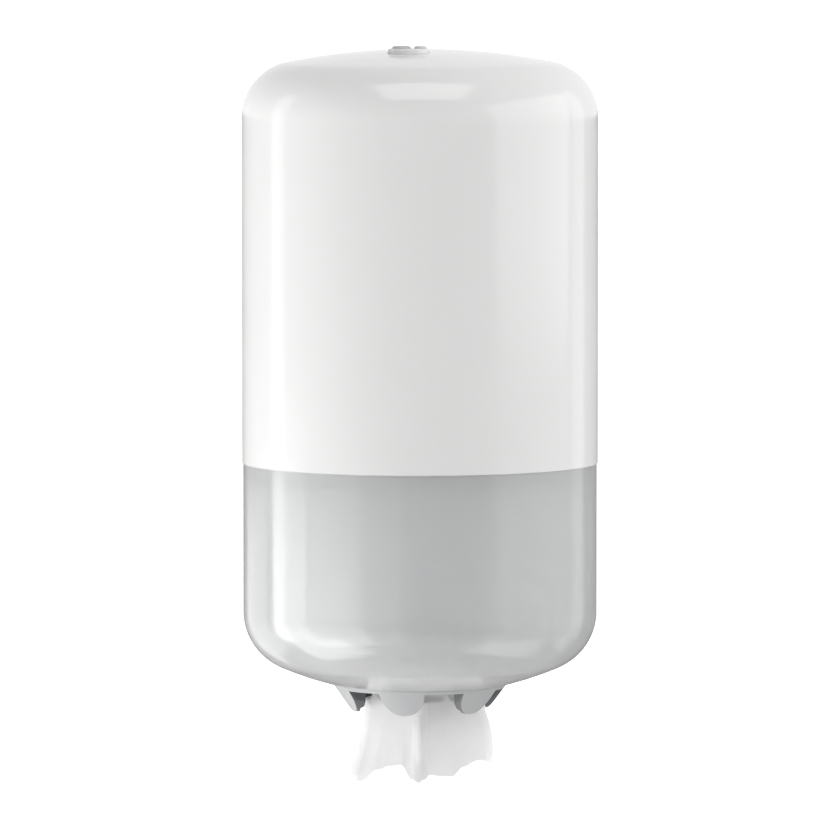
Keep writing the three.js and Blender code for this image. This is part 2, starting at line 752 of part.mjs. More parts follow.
// Lock frame: a channel under the crown that carries the lever's pin and the spring
function lockFrame() {
  const front = lockY - frameFront
  const rear = pivotBack + frameRear
  const outer = frameHalfGap + frameWall
  const floorTop = leverTop - leverThickness - frameFloorDepth
  const floorBottom = floorTop - frameWall
  const channel = box(
    [-frameHalfGap, front - overrun, floorTop], [frameHalfGap, rear + overrun, shellHeight])
  const bezelRest = box(
    [-outer, front, frameTop - frameWall], [outer, lockY + frameFront, bezelFlangeBottom - fitGap])
  let frame = box([-outer, front, floorBottom], [outer, rear, frameTop]).add(bezelRest).subtract(channel)
  for (const [x, y] of frameTabs) {
    const inner = Math.sign(x) * (outer - frameWall / 2)
    const end = Math.sign(x) * (outer + frameTabReach)
    const half = frameTabWidth / 2
    const low = [Math.min(inner, end), y - half, frameTop - frameTabThickness]
    frame = frame.add(box(low, [Math.max(inner, end), y + half, frameTop]))
    frame = frame.subtract(post(screwRadius + pilotClearance, 0, shellHeight, x, y))
  }
  const pinEnd = outer + overrun
  return frame.subtract(rodAlongX(leverPinRadius + fitGap, -pinEnd, pinEnd, pivotBack, pivotZ))
}

// Latch lever: the button presses its front end, and its hook at the back lifts off the catch
function latchLever() {
  const half = leverWidth / 2
  const bottom = leverTop - leverThickness
  const hookEnd = hookFront + hookThickness + fitGap
  const bar = box([-half, lockY - leverFrontReach, bottom], [half, hookEnd, leverTop])
  const hook = box([-half, hookEnd - hookThickness, bottom - hookDepth - fitGap], [half, hookEnd, leverTop])
  const hubHalf = frameHalfGap - fitGap
  const hub = rodAlongX(leverHubRadius, -hubHalf, hubHalf, pivotBack, pivotZ)
  return bar.add(hook).add(hub)
    .subtract(rodAlongX(leverPinRadius + fitGap, -bodyRadius, bodyRadius, pivotBack, pivotZ))
}

// Catch: a small channel on the back plate whose front wall stands in front of the hook
function catchBracket() {
  const half = catchWidth / 2
  const top = leverTop - leverThickness - fitGap
  const bottom = top - catchHeight
  const back = wallDistance - plateWall - fitGap
  const front = hookFront - catchWall
  const shelfTop = top - catchShelfDepth
  const shelfBottom = shelfTop - catchBaseWall
  const shelf = box([-half, front, shelfBottom], [half, back, shelfTop])
  const wall = box([-half, front, shelfBottom], [half, hookFront, top])
  let base = box([-half, back - catchBaseWall, bottom], [half, back, shelfTop])
  for (const side of [-1, 1]) {
    const x = side * catchScrewSpacing / 2
    base = base.subtract(rodAlongY(screwRadius + pilotClearance, 0, wallDistance, x, catchScrewZ()))
  }
  return shelf.add(wall).add(base)
}

function catchScrewZ() {
  return leverTop - leverThickness - catchHeight + catchScrewUp
}

function catchScrewHeadY() {
  return wallDistance - plateWall - 2 * fitGap - catchBaseWall
}

function catchScrewTip() {
  return catchScrewHeadY() + catchScrewLength()
}

function catchScrewLength() {
  return plateWall + catchBaseWall - screwSlotDepth
}

// Latch spring: one wire wound under the lever's front end
function latchSpring() {
  const bottom = leverTop - leverThickness - frameFloorDepth + fitGap + springWire / 2
  const top = leverTop - leverThickness - fitGap - springWire / 2
  const steps = springTurns * springStepsPerTurn
  const points = Array.from({ length: steps + 1 }, (_, i) => {
    const turn = fullTurn * springTurns * i / steps
    const z = bottom + (top - bottom) * i / steps
    return new THREE.Vector3(springRadius * Math.cos(turn), lockY + springRadius * Math.sin(turn), z)
  })
  const section = new THREE.Shape()
  section.absarc(0, 0, springWire / 2, 0, fullTurn)
  return new THREE.ExtrudeGeometry(section, {
    steps, curveSegments: springSides, bevelEnabled: false, extrudePath: new THREE.CatmullRomCurve3(points),
  })
}

// Paper tail: the roll's inner end, gathered in the bore and the nozzle, with its photographed folds below
function paperTail() {
  const hemAt = Array.from({ length: tailColumns }, (_, i) => {
    const turn = fullTurn * i / tailColumns
    let radius = tailValleyRadius
    let drop = tailValleyDrop
    for (const fold of tailFolds) {
      const swell = foldSwell(turn, fold)
      radius = Math.max(radius, tailValleyRadius + (tailReach * fold.reachShare - tailValleyRadius) * swell)
      drop = Math.max(drop, tailValleyDrop + (tailDrop * fold.dropShare - tailValleyDrop) * swell)
    }
    return { turn: turn - fullTurn / 4, radius, drop, pleat: (radius - tailValleyRadius) / tailValleyDepth }
  })
  const mouthZ = -lobeDrop
  const ring = (radiusAt, heightAt) => hemAt.map((hem) => {
    const radius = radiusAt(hem)
    return [radius * Math.cos(hem.turn), radius * Math.sin(hem.turn), heightAt(hem)]
  })
  const mouthAt = ({ pleat }) => {
    const fullness = Math.min(pleat / tailMouthFullShare, 1)
    return tailMouthRadius * (tailMouthValleyShare + (1 - tailMouthValleyShare) * fullness)
  }
  const throatAt = ({ pleat }, width) => width * (tailThroatLeastShare + tailThroatPleatShare * pleat)
  const rings = tailHollowShares.map((share) => ring(
    (hem) => hem.radius * (tailHollowShare + tailHollowFlareShare * share),
    (hem) => mouthZ - hem.drop + tailHollow * (1 - share)))
  for (const share of tailSkirtShares) {
    rings.push(ring(
      (hem) => mouthAt(hem) * (1 - share) + hem.radius * share,
      (hem) => mouthZ - hem.drop * share))
  }
  for (const { riseShare, widthShare } of tailThroats) {
    rings.push(ring(
      (hem) => throatAt(hem, tailMouthRadius * widthShare),
      () => mouthZ + tailThroatRise * riseShare))
  }
  rings.push(ring((hem) => throatAt(hem, tailStrandRadius), () => tailTop))
  return ringGeometry(rings, [0, 0, mouthZ - tailValleyDrop + tailHollow], [0, 0, tailTop])
}

// How far a fold swells at a turn from the front: 1 at its crest, 0 past its spread
function foldSwell(turn, fold) {
  const between = turn - THREE.MathUtils.degToRad(fold.turn) + Math.PI
  const away = Math.abs(THREE.MathUtils.euclideanModulo(between, fullTurn) - Math.PI)
  const near = away / THREE.MathUtils.degToRad(fold.spread)
  return near < 1 ? Math.cos(near * fullTurn / 4) ** tailFoldSharpness : 0
}

add('back_plate', backPlate(), finish.white)
add('catch_bracket', catchBracket(), finish.lightGrey)
for (const [i, side] of [-1, 1].entries()) {
  const screw = screwSolid(catchScrewLength()).rotate([90, 0, 0])
  const place = [side * catchScrewSpacing / 2, catchScrewHeadY(), catchScrewZ()]
  add(`catch_screw_${i + 1}`, screw.translate(place), finish.steel)
}
add('hinge_pin_left', hingePin(-1), finish.steel)
add('hinge_pin_right', hingePin(1), finish.steel)

add('cover_upper_shell', upperShell(), finish.white)
add('cover_lower_shell', lowerShell(), finish.smoke)
add('roll_seat', rollSeat(), finish.inner)
for (const [i, [x, y]] of seatPosts.entries()) {
  const screw = screwSolid(screwLength)
  add(`seat_screw_${i + 1}`, screw.translate([x, y, seatTop - screwHeadHeight]), finish.steel)
}
add('nozzle_retainer', nozzleRetainer(), finish.grey)
for (const [i, [x, y]] of retainerScrews.entries()) {
  const screw = screwSolid(screwLength)
  add(`retainer_screw_${i + 1}`, screw.translate([x, y, retainerTop + fitGap]), finish.steel)
}
add('lock_bezel', lockBezel(), finish.lightGrey)
add('lock_frame', lockFrame(), finish.inner)
for (const [i, [x, y]] of frameTabs.entries()) {
  const screw = screwSolid(screwLength).rotate([180, 0, 0])
  add(`frame_screw_${i + 1}`, screw.translate([x, y, frameTop - frameTabThickness - fitGap]), finish.steel)
}
const pinReach = frameHalfGap + frameWall
add('lever_pin', rodAlongX(leverPinRadius, -pinReach, pinReach, pivotBack, pivotZ), finish.steel)
add('latch_spring', latchSpring(), finish.steel)
add('paper_roll', paperRoll(), finish.paper)

add('latch_lever', latchLever(), finish.grey)
add('lock_button', lockButton(), finish.darkGrey)
add('key_barrel', keyBarrel(), finish.lightGrey)
add('nozzle', nozzle(), finish.grey)
add('paper_tail', paperTail(), finish.paper)

export default group
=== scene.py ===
"""Looks of a wall-mounted centrefeed roll dispenser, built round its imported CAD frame. Metres, +Z up."""

import math

import bmesh
import bpy
from mathutils import Matrix, Vector


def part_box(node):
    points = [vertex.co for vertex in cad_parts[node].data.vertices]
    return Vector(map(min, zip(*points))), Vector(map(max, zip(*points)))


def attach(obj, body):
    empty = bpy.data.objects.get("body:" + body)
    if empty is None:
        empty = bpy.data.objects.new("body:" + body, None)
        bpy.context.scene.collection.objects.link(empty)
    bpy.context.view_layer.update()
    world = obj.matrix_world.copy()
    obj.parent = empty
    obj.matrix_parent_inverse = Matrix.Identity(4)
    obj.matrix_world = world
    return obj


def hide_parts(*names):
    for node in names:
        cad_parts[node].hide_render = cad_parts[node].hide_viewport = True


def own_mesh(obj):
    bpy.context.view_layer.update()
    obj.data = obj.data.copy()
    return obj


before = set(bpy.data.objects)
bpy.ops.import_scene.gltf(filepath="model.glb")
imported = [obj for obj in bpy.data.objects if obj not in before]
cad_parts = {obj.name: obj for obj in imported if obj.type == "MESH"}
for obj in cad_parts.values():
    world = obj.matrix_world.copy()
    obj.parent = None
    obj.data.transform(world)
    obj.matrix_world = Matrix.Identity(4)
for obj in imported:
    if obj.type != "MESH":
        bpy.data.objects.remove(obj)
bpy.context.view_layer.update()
MM = 0.001

# Sizes read from the frame
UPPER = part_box("cover_upper_shell")
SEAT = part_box("roll_seat")
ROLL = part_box("paper_roll")
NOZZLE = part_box("nozzle")
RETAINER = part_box("nozzle_retainer")
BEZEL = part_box("lock_bezel")
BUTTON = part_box("lock_button")
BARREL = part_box("key_barrel")
FRONT = UPPER[0].y
COVER_REAR = UPPER[1].y
CROWN = UPPER[1].z
SEAM = UPPER[0].z

# The body's form, as in its construction
BODY_RADIUS = 86 * MM
AXIS_Y = FRONT + BODY_RADIUS
SHELL_HEIGHT = 307.5 * MM
BASE_Z = CROWN - SHELL_HEIGHT
FLANK_ANGLE = math.radians(103)
CROWN_FILLET = 27 * MM
CROWN_DOME = 330 * MM
BOWL_FILLET = 29.2 * MM
BOWL_DOME = 174 * MM
COLLAR_RADIUS = 43 * MM
BOWL_CENTRE = math.sqrt(BOWL_DOME**2 - COLLAR_RADIUS**2)
MOUTH_RADIUS = 42.3 * MM
UPPER_WALL = 2.5 * MM
LOWER_WALL = 2.4 * MM
LOWER_INSET = 0.5 * MM
TONGUE_WALL = 1.8 * MM
TONGUE_HEIGHT = 8 * MM
TONGUE_ROOT = 7 * MM
PLATE_FLOOR = 3 * MM
PLATE_RIM = 2.5 * MM
GAP = 0.3 * MM
RUNNING_GAP = 0.4 * MM
OVERRUN = 5 * MM
HINGE_Y = -13 * MM
HINGE_Z = BASE_Z + 17.5 * MM
KNUCKLE_RADIUS = 5 * MM
LUG_INNER = 15 * MM
LUG_WIDTH = 7 * MM
EAR_WIDTH = 6 * MM
EAR_ARM = 7 * MM
SWING_RADIUS = 9.8 * MM
SWING_HALF_WIDTH = 52 * MM
PIN_RADIUS = 2 * MM
PIN_HEAD_RADIUS = 3.4 * MM
PIN_HEAD = 1.2 * MM
BEARING_RADIUS = 57.5 * MM
BEARING_TOP = BASE_Z + 8 * MM
POST_RING = 63 * MM
POST_RADIUS = 4.6 * MM
RETAINER_RING = 52 * MM
SCREW_HOLE = 1.7 * MM
SCREW_DEPTH = 6 * MM
SEAT_RIM = 6 * MM
SEAT_FLOOR = 2.4 * MM
WALL_HOLE_HEIGHTS = (BASE_Z + 62 * MM, BASE_Z + 240 * MM)
WALL_HOLE_ACROSS = 46 * MM
WALL_HOLE = 2.5 * MM
WALL_BOSS = 8 * MM
RIB_ACROSS = 30 * MM
RIB_HALF = 0.8 * MM
RIB_TOP = BASE_Z + 254.5 * MM
BEZEL_RADIUS = 10 * MM
SMALL_EDGE = 0.35 * MM

# Mesh fineness, in counts
ARC_STEPS = 112
FLANK_STEPS = 12
FILLET_STEPS = 14
DOME_STEPS = 18
ROUND = 128
SMALL_ROUND = 32


def new_object(name, points, faces):
    mesh = bpy.data.meshes.new(name)
    mesh.from_pydata([tuple(p) for p in points], [], faces)
    mesh.validate()
    obj = bpy.data.objects.new(name, mesh)
    bpy.context.scene.collection.objects.link(obj)
    tidy_mesh(obj)
    return obj


def tidy_mesh(obj, merge=1e-6):
    work = bmesh.new()
    work.from_mesh(obj.data)
    bmesh.ops.remove_doubles(work, verts=work.verts, dist=merge)
    bmesh.ops.recalc_face_normals(work, faces=work.faces)
    work.to_mesh(obj.data)
    work.free()


def apply_modifiers(obj):
    graph = bpy.context.evaluated_depsgraph_get()
    mesh = bpy.data.meshes.new_from_object(obj.evaluated_get(graph))
    obj.modifiers.clear()
    obj.data = mesh
    return obj


def boolean(obj, tool, operation):
    """Joins or cuts obj with a closed tool, which is then gone."""
    modifier = obj.modifiers.new(operation.lower(), "BOOLEAN")
    modifier.operation = operation
    modifier.object = tool
    modifier.solver = "MANIFOLD"
    apply_modifiers(obj)
    bpy.data.objects.remove(tool)
    return obj


def join_to(obj, tool):
    return boolean(obj, tool, "UNION")


def cut_from(obj, tool):
    return boolean(obj, tool, "DIFFERENCE")


def block(low, high):
    work = bmesh.new()
    bmesh.ops.create_cube(work, size=1)
    mesh = bpy.data.meshes.new("tool")
    work.to_mesh(mesh)
    work.free()
    obj = bpy.data.objects.new("tool", mesh)
    bpy.context.scene.collection.objects.link(obj)
    low, high = Vector(low), Vector(high)
    size = high - low
    mesh.transform(Matrix.Translation((low + high) / 2) @ Matrix.Diagonal((*size, 1)))
    return obj


def lathe(profile, centre=(0, 0), segments=ROUND, name="tool"):
    """A closed body of revolution about a vertical axis, from a closed (radius, height) profile."""
    points, faces = [], []
    count = len(profile)
    for i in range(segments):
        turn = 2 * math.pi * i / segments
        points += [
            (centre[0] + r * math.cos(turn), centre[1] + r * math.sin(turn), z)
            for r, z in profile
        ]
    for i in range(segments):
        here, beside = i * count, (i + 1) % segments * count
        for k in range(count):
            after = (k + 1) % count
            faces.append((here + k, beside + k, beside + after, here + after))
    return new_object(name, points, faces)


def rod(axis, radius, start, end, centre, segments=SMALL_ROUND, name="tool"):
    """A closed cylinder along X, Y or Z. centre gives the other two coordinates, in X, Y, Z order."""
    obj = lathe([(0, start), (radius, start), (radius, end), (0, end)], segments=segments, name=name)
    if axis == "X":
        turn = Matrix(((0, 0, 1, 0), (1, 0, 0, centre[0]), (0, 1, 0, centre[1]), (0, 0, 0, 1)))
    elif axis == "Y":
        turn = Matrix(((0, 1, 0, centre[0]), (0, 0, 1, 0), (1, 0, 0, centre[1]), (0, 0, 0, 1)))
    else:
        turn = Matrix.Translation((centre[0], centre[1], 0))
    obj.data.transform(turn)
    return obj


def finish_edges(obj, width, segments=2, angle=40, sharp=35):
    """Rounds the hard edges a little, then shades the faces smooth between what stays sharp."""
    modifier = obj.modifiers.new("edges", "BEVEL")
    modifier.width = width
    modifier.segments = segments
    modifier.limit_method = "ANGLE"
    modifier.angle_limit = math.radians(angle)
    apply_modifiers(obj)
    shade(obj, sharp)
    return obj


def shade(obj, sharp=35):
    obj.data.polygons.foreach_set("use_smooth", [True] * len(obj.data.polygons))
    obj.data.set_sharp_from_angle(angle=math.radians(sharp))
    weighted = obj.modifiers.new("normals", "WEIGHTED_NORMAL")
    weighted.keep_sharp = True
    weighted.weight = 60
    apply_modifiers(obj)


# Heights of the crown's dome and of the bowl under the cover, at a radius from the roll's axis
def crown_height(radius, inset):
    return CROWN - CROWN_DOME + math.sqrt((CROWN_DOME - inset) ** 2 - radius**2)


def bowl_height(radius, inset):
    return BASE_Z + BOWL_CENTRE - math.sqrt((BOWL_DOME - inset) ** 2 - radius**2)


def outline(inset, rear):
    """The plan outline, left rear to front to right rear, in (x, y) from the roll's axis."""
    radius = BODY_RADIUS - inset
    tangent = Vector((radius * math.sin(FLANK_ANGLE), -radius * math.cos(FLANK_ANGLE)))
    end = Vector(((radius + rear * math.cos(FLANK_ANGLE)) / math.sin(FLANK_ANGLE), rear))
    right = [tangent.lerp(end, i / FLANK_STEPS) for i in range(1, FLANK_STEPS + 1)]
    arc = []
    for i in range(ARC_STEPS + 1):
        turn = FLANK_ANGLE * (2 * i / ARC_STEPS - 1)
        arc.append(Vector((radius * math.sin(turn), -radius * math.cos(turn))))
    left = [Vector((-p.x, p.y)) for p in reversed(right)]
    return left + arc + right


class Form:
    """The body moved in by a distance: the rings of its skin, each cut off at a rear plane."""

    def __init__(self, inset, rear):
        self.inset, self.rear = inset, rear
        self.top_turn = math.asin((BODY_RADIUS - CROWN_FILLET) / (CROWN_DOME - CROWN_FILLET))
        self.low_turn = math.asin((BODY_RADIUS - BOWL_FILLET) / (BOWL_DOME - BOWL_FILLET))
        self.top_centre = CROWN - CROWN_DOME + (CROWN_DOME - CROWN_FILLET) * math.cos(self.top_turn)
        self.low_centre = BASE_Z + BOWL_CENTRE - (BOWL_DOME - BOWL_FILLET) * math.cos(self.low_turn)

    def place(self, xy, z):
        return Vector((xy.x, AXIS_Y + xy.y, z))

    def wall(self, z):
        return [self.place(p, z) for p in outline(self.inset, self.rear)]

    def fillet(self, top, share):
        """One ring of a fillet, from the wall at share 0 to the dome at share 1."""
        turn_end = self.top_turn if top else self.low_turn
        radius = (CROWN_FILLET if top else BOWL_FILLET) - self.inset
        centre, up = (self.top_centre, 1) if top else (self.low_centre, -1)
        height = crown_height if top else bowl_height
        meet = self.inset + radius * (1 - math.sin(turn_end))
        turn = math.pi / 2 + (turn_end - math.pi / 2) * share
        ring = []
        inset = self.inset + radius * (1 - math.sin(turn))
        for p, m in zip(outline(inset, self.rear), outline(meet, self.rear)):
            shift = height(m.length, self.inset) - height(BODY_RADIUS - meet, self.inset)
            ring.append(self.place(p, centre + up * radius * math.cos(turn) + shift))
        return ring

    def dome(self, top, share):
        """One ring of a dome, drawn in towards the middle of the rear edge as share falls from 1 to 0."""
        turn_end = self.top_turn if top else self.low_turn
        radius = (CROWN_FILLET if top else BOWL_FILLET) - self.inset
        height = crown_height if top else bowl_height
        middle = Vector((0, self.rear))
        ring = []
        for m in outline(self.inset + radius * (1 - math.sin(turn_end)), self.rear):
            p = middle.lerp(m, share)
            ring.append(self.place(p, height(p.length, self.inset)))
        return ring

    def upper(self, from_z, wall_steps):
        top = min(p.z for p in self.fillet(True, 0))
        rings = [self.wall(from_z + (top - from_z) * i / wall_steps) for i in range(wall_steps)]
        rings += [self.fillet(True, i / FILLET_STEPS) for i in range(FILLET_STEPS + 1)]
        return rings + [self.dome(True, 1 - i / DOME_STEPS) for i in range(1, DOME_STEPS + 1)]

    def lower(self, from_z, wall_steps):
        low = max(p.z for p in self.fillet(False, 0))
        rings = [self.wall(from_z + (low - from_z) * i / wall_steps) for i in range(wall_steps)]
        rings += [self.fillet(False, i / FILLET_STEPS) for i in range(FILLET_STEPS + 1)]
        return rings + [self.dome(False, 1 - i / DOME_STEPS) for i in range(1, DOME_STEPS + 1)]


def skin_between(outer, inner, name, closed_end=False):
    """A closed shell between two stacks of open rings, joined at their rear edges and first rings."""
    count = len(outer[0])
    points = [p for ring in outer + inner for p in ring]
    offset = len(outer) * count
    faces = []
    for k in range(len(outer) - 1):
        for j in range(count - 1):
            a, b = k * count + j, (k + 1) * count + j
            faces.append((a, a + 1, b + 1, b))
            faces.append((offset + a, offset + b, offset + b + 1, offset + a + 1))
        for j in (0, count - 1):
            a, b = k * count + j, (k + 1) * count + j
            faces.append((a, b, offset + b, offset + a))
    last = (len(outer) - 1) * count
    for j in range(count - 1):
        faces.append((j, offset + j, offset + j + 1, j + 1))
        if closed_end:
            faces.append((last + j, last + j + 1, offset + last + j + 1, offset + last + j))
    return new_object(name, points, faces)


def whole_body(inset, rear, name="tool"):
    """The body moved in by a distance as one closed solid: bowl, wall and crown, flat at the rear."""
    form = Form(inset, rear)
    rings = form.lower(SEAM, 1)[::-1] + form.upper(SEAM, 1)[1:]
    count = len(rings[0])
    points = [p for ring in rings for p in ring]
    faces = []
    for k in range(len(rings) - 1):
        for j in range(count):
            after = (j + 1) % count
            faces.append((k * count + j, k * count + after, (k + 1) * count + after, (k + 1) * count + j))
    return new_object(name, points, faces)


def bored(obj, radius, low, high, centre):
    return cut_from(obj, rod("Z", radius, low, high, centre))


def ride(obj, body, slot, material, *nodes):
    obj.data.materials.clear()
    obj.data.materials.append(material)
    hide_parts(*nodes)
    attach(obj, body)
    return obj


# Materials. Object coordinates are the row frame's, in metres, so a scale is in features per metre.
class Nodes:
    """A material's node tree with short ways to add and link nodes."""

    def __init__(self, name):
        self.material = bpy.data.materials.new(name)
        self.material.use_nodes = True
        self.tree = self.material.node_tree
        self.shader = self.tree.nodes["Principled BSDF"]
        self.place = self.add("ShaderNodeTexCoord").outputs["Object"]

    def add(self, kind, links=(), **values):
        node = self.tree.nodes.new(kind)
        for key, value in values.items():
            setattr(node, key, value)
        for name, source in dict(links).items():
            if isinstance(source, bpy.types.NodeSocket):
                self.tree.links.new(source, node.inputs[name])
            else:
                node.inputs[name].default_value = source
        return node

    def moved(self, offset=(0, 0, 0), scale=(1, 1, 1)):
        links = {"Vector": self.place, "Location": offset, "Scale": scale}
        return self.add("ShaderNodeMapping", links).outputs["Vector"]

    def noise(self, scale, detail=3, rough=0.5, place=None):
        links = {"Vector": place or self.place, "Scale": scale, "Detail": detail, "Roughness": rough}
        return self.add("ShaderNodeTexNoise", links).outputs["Fac"]

    def ramp(self, value, stops):
        node = self.add("ShaderNodeValToRGB", {"Fac": value})
        elements = node.color_ramp.elements
        while len(elements) < len(stops):
            elements.new(0.5)
        for element, (position, colour) in zip(elements, stops):
            element.position = position
            element.color = (*colour, 1)
        return node.outputs["Color"]

    def between(self, value, low, high, at=(0.3, 0.7)):
        links = {"Value": value, "From Min": at[0], "From Max": at[1], "To Min": low, "To Max": high}
        return self.add("ShaderNodeMapRange", links).outputs["Result"]

    def sum(self, first, second, share=1.0):
        links = {0: second, 1: share, 2: first}
        return self.add("ShaderNodeMath", links, operation="MULTIPLY_ADD").outputs[0]

    def bump(self, height, distance, strength=1.0, normal=None):
        links = {"Height": height, "Distance": distance, "Strength": strength}
        if normal:
            links["Normal"] = normal
        return self.add("ShaderNodeBump", links).outputs["Normal"]

    def shade(self, **values):
        for key, value in values.items():
            socket = self.shader.inputs[key.replace("_", " ")]
            if isinstance(value, bpy.types.NodeSocket):
                self.tree.links.new(value, socket)
            else:
                socket.default_value = value
        return self.material


def around_grey(colour, spread):
    return [tuple(c * (1 - spread) for c in colour), tuple(min(1, c * (1 + spread)) for c in colour)]


def gloss_white():
    n = Nodes("gloss_white")
    low, high = around_grey((0.885, 0.885, 0.88), 0.006)
    flow = n.noise(14, 2)
    peel = n.noise(210, 2, 0.4)
    fine = n.noise(2600, 2)
    normal = n.bump(fine, 0.0000012, 1, n.bump(peel, 0.000006))
    return n.shade(
        Base_Color=n.ramp(flow, [(0.3, low), (0.7, high)]),
        Roughness=n.between(n.noise(60, 4), 0.11, 0.17),
        Normal=normal, IOR=1.5)


def smoke():
    n = Nodes("smoke_translucent")
    low, high = around_grey((0.84, 0.845, 0.85), 0.01)
    flow = n.noise(16, 2)
    peel = n.noise(190, 2, 0.4)
    return n.shade(
        Base_Color=n.ramp(flow, [(0.3, low), (0.7, high)]),
        Roughness=n.between(n.noise(70, 4), 0.42, 0.5),
        Normal=n.bump(peel, 0.000006), Transmission_Weight=0.6, IOR=1.3,
        Coat_Weight=1.0, Coat_Roughness=0.15, Coat_IOR=1.62)


def satin(name, colour, roughness):
    n = Nodes(name)
    low, high = around_grey(colour, 0.02)
    sparks = n.noise(1500, 5, 0.65)
    flow = n.noise(30, 3)
    normal = n.bump(sparks, 0.000006, 1, n.bump(n.noise(160, 2), 0.000006))
    return n.shade(
        Base_Color=n.ramp(flow, [(0.3, low), (0.7, high)]),
        Roughness=n.between(n.noise(240, 4), roughness - 0.05, roughness + 0.06),
        Normal=normal, IOR=1.49)


def zinc_steel():
    n = Nodes("zinc_steel")
    streaks = n.noise(900, 4, 0.6, n.moved(scale=(1, 1, 0.12)))
    blotch = n.noise(350, 4)
    return n.shade(
        Base_Color=n.ramp(blotch, [(0.3, (0.56, 0.565, 0.57)), (0.7, (0.70, 0.70, 0.69))]),
        Metallic=1.0,
        Roughness=n.between(streaks, 0.24, 0.42),
        Normal=n.bump(streaks, 0.000006))


def tissue(name, colour, sheer):
    """Crepe tissue: fine ridges across the strip, small embossed dimples and soft fibre blotches."""
    n = Nodes(name)
    low, high = around_grey(colour, 0.012)
    ridges = n.noise(1400, 4, 0.6, n.moved(scale=(1, 1, 0.18)))
    fibre = n.noise(5200, 3)
    cells = {"Vector": n.place, "Scale": 420}
    dimple = n.add("ShaderNodeTexVoronoi", cells, feature="SMOOTH_F1").outputs["Distance"]
    height = n.sum(n.sum(ridges, fibre, 0.35), dimple, 0.5)
    return n.shade(
        Base_Color=n.ramp(n.noise(260, 4), [(0.3, low), (0.7, high)]),
        Roughness=n.between(fibre, 0.86, 0.96),
        Normal=n.bump(height, 0.00006),
        Subsurface_Weight=sheer, Subsurface_Radius=(0.0015, 0.0015, 0.0015), Subsurface_Scale=1.0,
        Sheen_Weight=0.08)


def roll_end():
    """The wound layers on a roll's ends, as fine rings about the roll's axis."""
    n = Nodes("roll_end")
    place = n.moved(offset=(0, -AXIS_Y, 0))
    links = {"Vector": place, "Scale": 430, "Distortion": 2.5, "Detail": 3, "Detail Scale": 1.2}
    rings = n.add("ShaderNodeTexWave", links, wave_type="RINGS", rings_direction="Z").outputs["Fac"]
    coarse = dict(links, Scale=70)
    bands = n.add("ShaderNodeTexWave", coarse, wave_type="RINGS", rings_direction="Z").outputs["Fac"]
    height = n.sum(rings, bands, 0.6)
    return n.shade(
        Base_Color=n.ramp(height, [(0.1, (0.80, 0.80, 0.79)), (0.9, (0.91, 0.91, 0.903))]),
        Roughness=n.between(rings, 0.85, 0.95),
        Normal=n.bump(height, 0.0001), Sheen_Weight=0.06)


WHITE = gloss_white()
SMOKE = smoke()
INNER = satin("satin_white", (0.80, 0.80, 0.79), 0.36)
GREY = satin("satin_grey", (0.56, 0.565, 0.57), 0.3)
NOZZLE_GREY = satin("satin_nozzle_grey", (0.435, 0.44, 0.445), 0.36)
LIGHT_GREY = satin("satin_light_grey", (0.76, 0.765, 0.77), 0.34)
# A dark grey that is painted shade, used only inside the nozzle.
PAINTED_SHADE_GREY = satin("satin_painted_shade_grey", (0.15, 0.153, 0.158), 0.38)
STEEL = zinc_steel()
TISSUE = tissue("tissue", (0.935, 0.935, 0.93), 0.75)
ROLL_SIDE = tissue("roll_side", (0.885, 0.885, 0.878), 0.12)
ROLL_END = roll_end()


def ring_block(inner, outer, low, high):
    return [(inner, low), (outer, low), (outer, high), (inner, high)]


def middle_of(box):
    return (box[0].x + box[1].x) / 2, (box[0].y + box[1].y) / 2


def ring_of_places(count, radius, first):
    """Points (x, y) spread evenly on a circle about the roll's axis."""
    for i in range(count):
        turn = first + math.pi * 2 / count * i
        yield radius * math.cos(turn), AXIS_Y + radius * math.sin(turn)


# Cover: upper shell, with the lock's hole in its crown
def upper_shell():
    rear = COVER_REAR - AXIS_Y
    outer, inner = Form(0, rear), Form(UPPER_WALL, rear)
    shell = skin_between(outer.upper(SEAM, 10), inner.upper(SEAM, 10), "upper_shell")
    hole = ring_block(0, BEZEL_RADIUS + GAP, CROWN - 30 * MM, CROWN + OVERRUN)
    cut_from(shell, lathe(hole, middle_of(BEZEL)))
    return finish_edges(shell, SMALL_EDGE, 3)


def hinge_parts():
    """Ranges along X of the cover's lugs and of the back plate's ears beside them, one pair a side."""
    ear = LUG_INNER + LUG_WIDTH + RUNNING_GAP
    for side in (1, -1):
        lug = sorted((side * LUG_INNER, side * (LUG_INNER + LUG_WIDTH)))
        yield side, lug, sorted((side * ear, side * (ear + EAR_WIDTH)))


def seat_posts():
    return ring_of_places(4, POST_RING, math.pi / 4)


def retainer_places():
    return ring_of_places(3, RETAINER_RING, math.pi / 2)


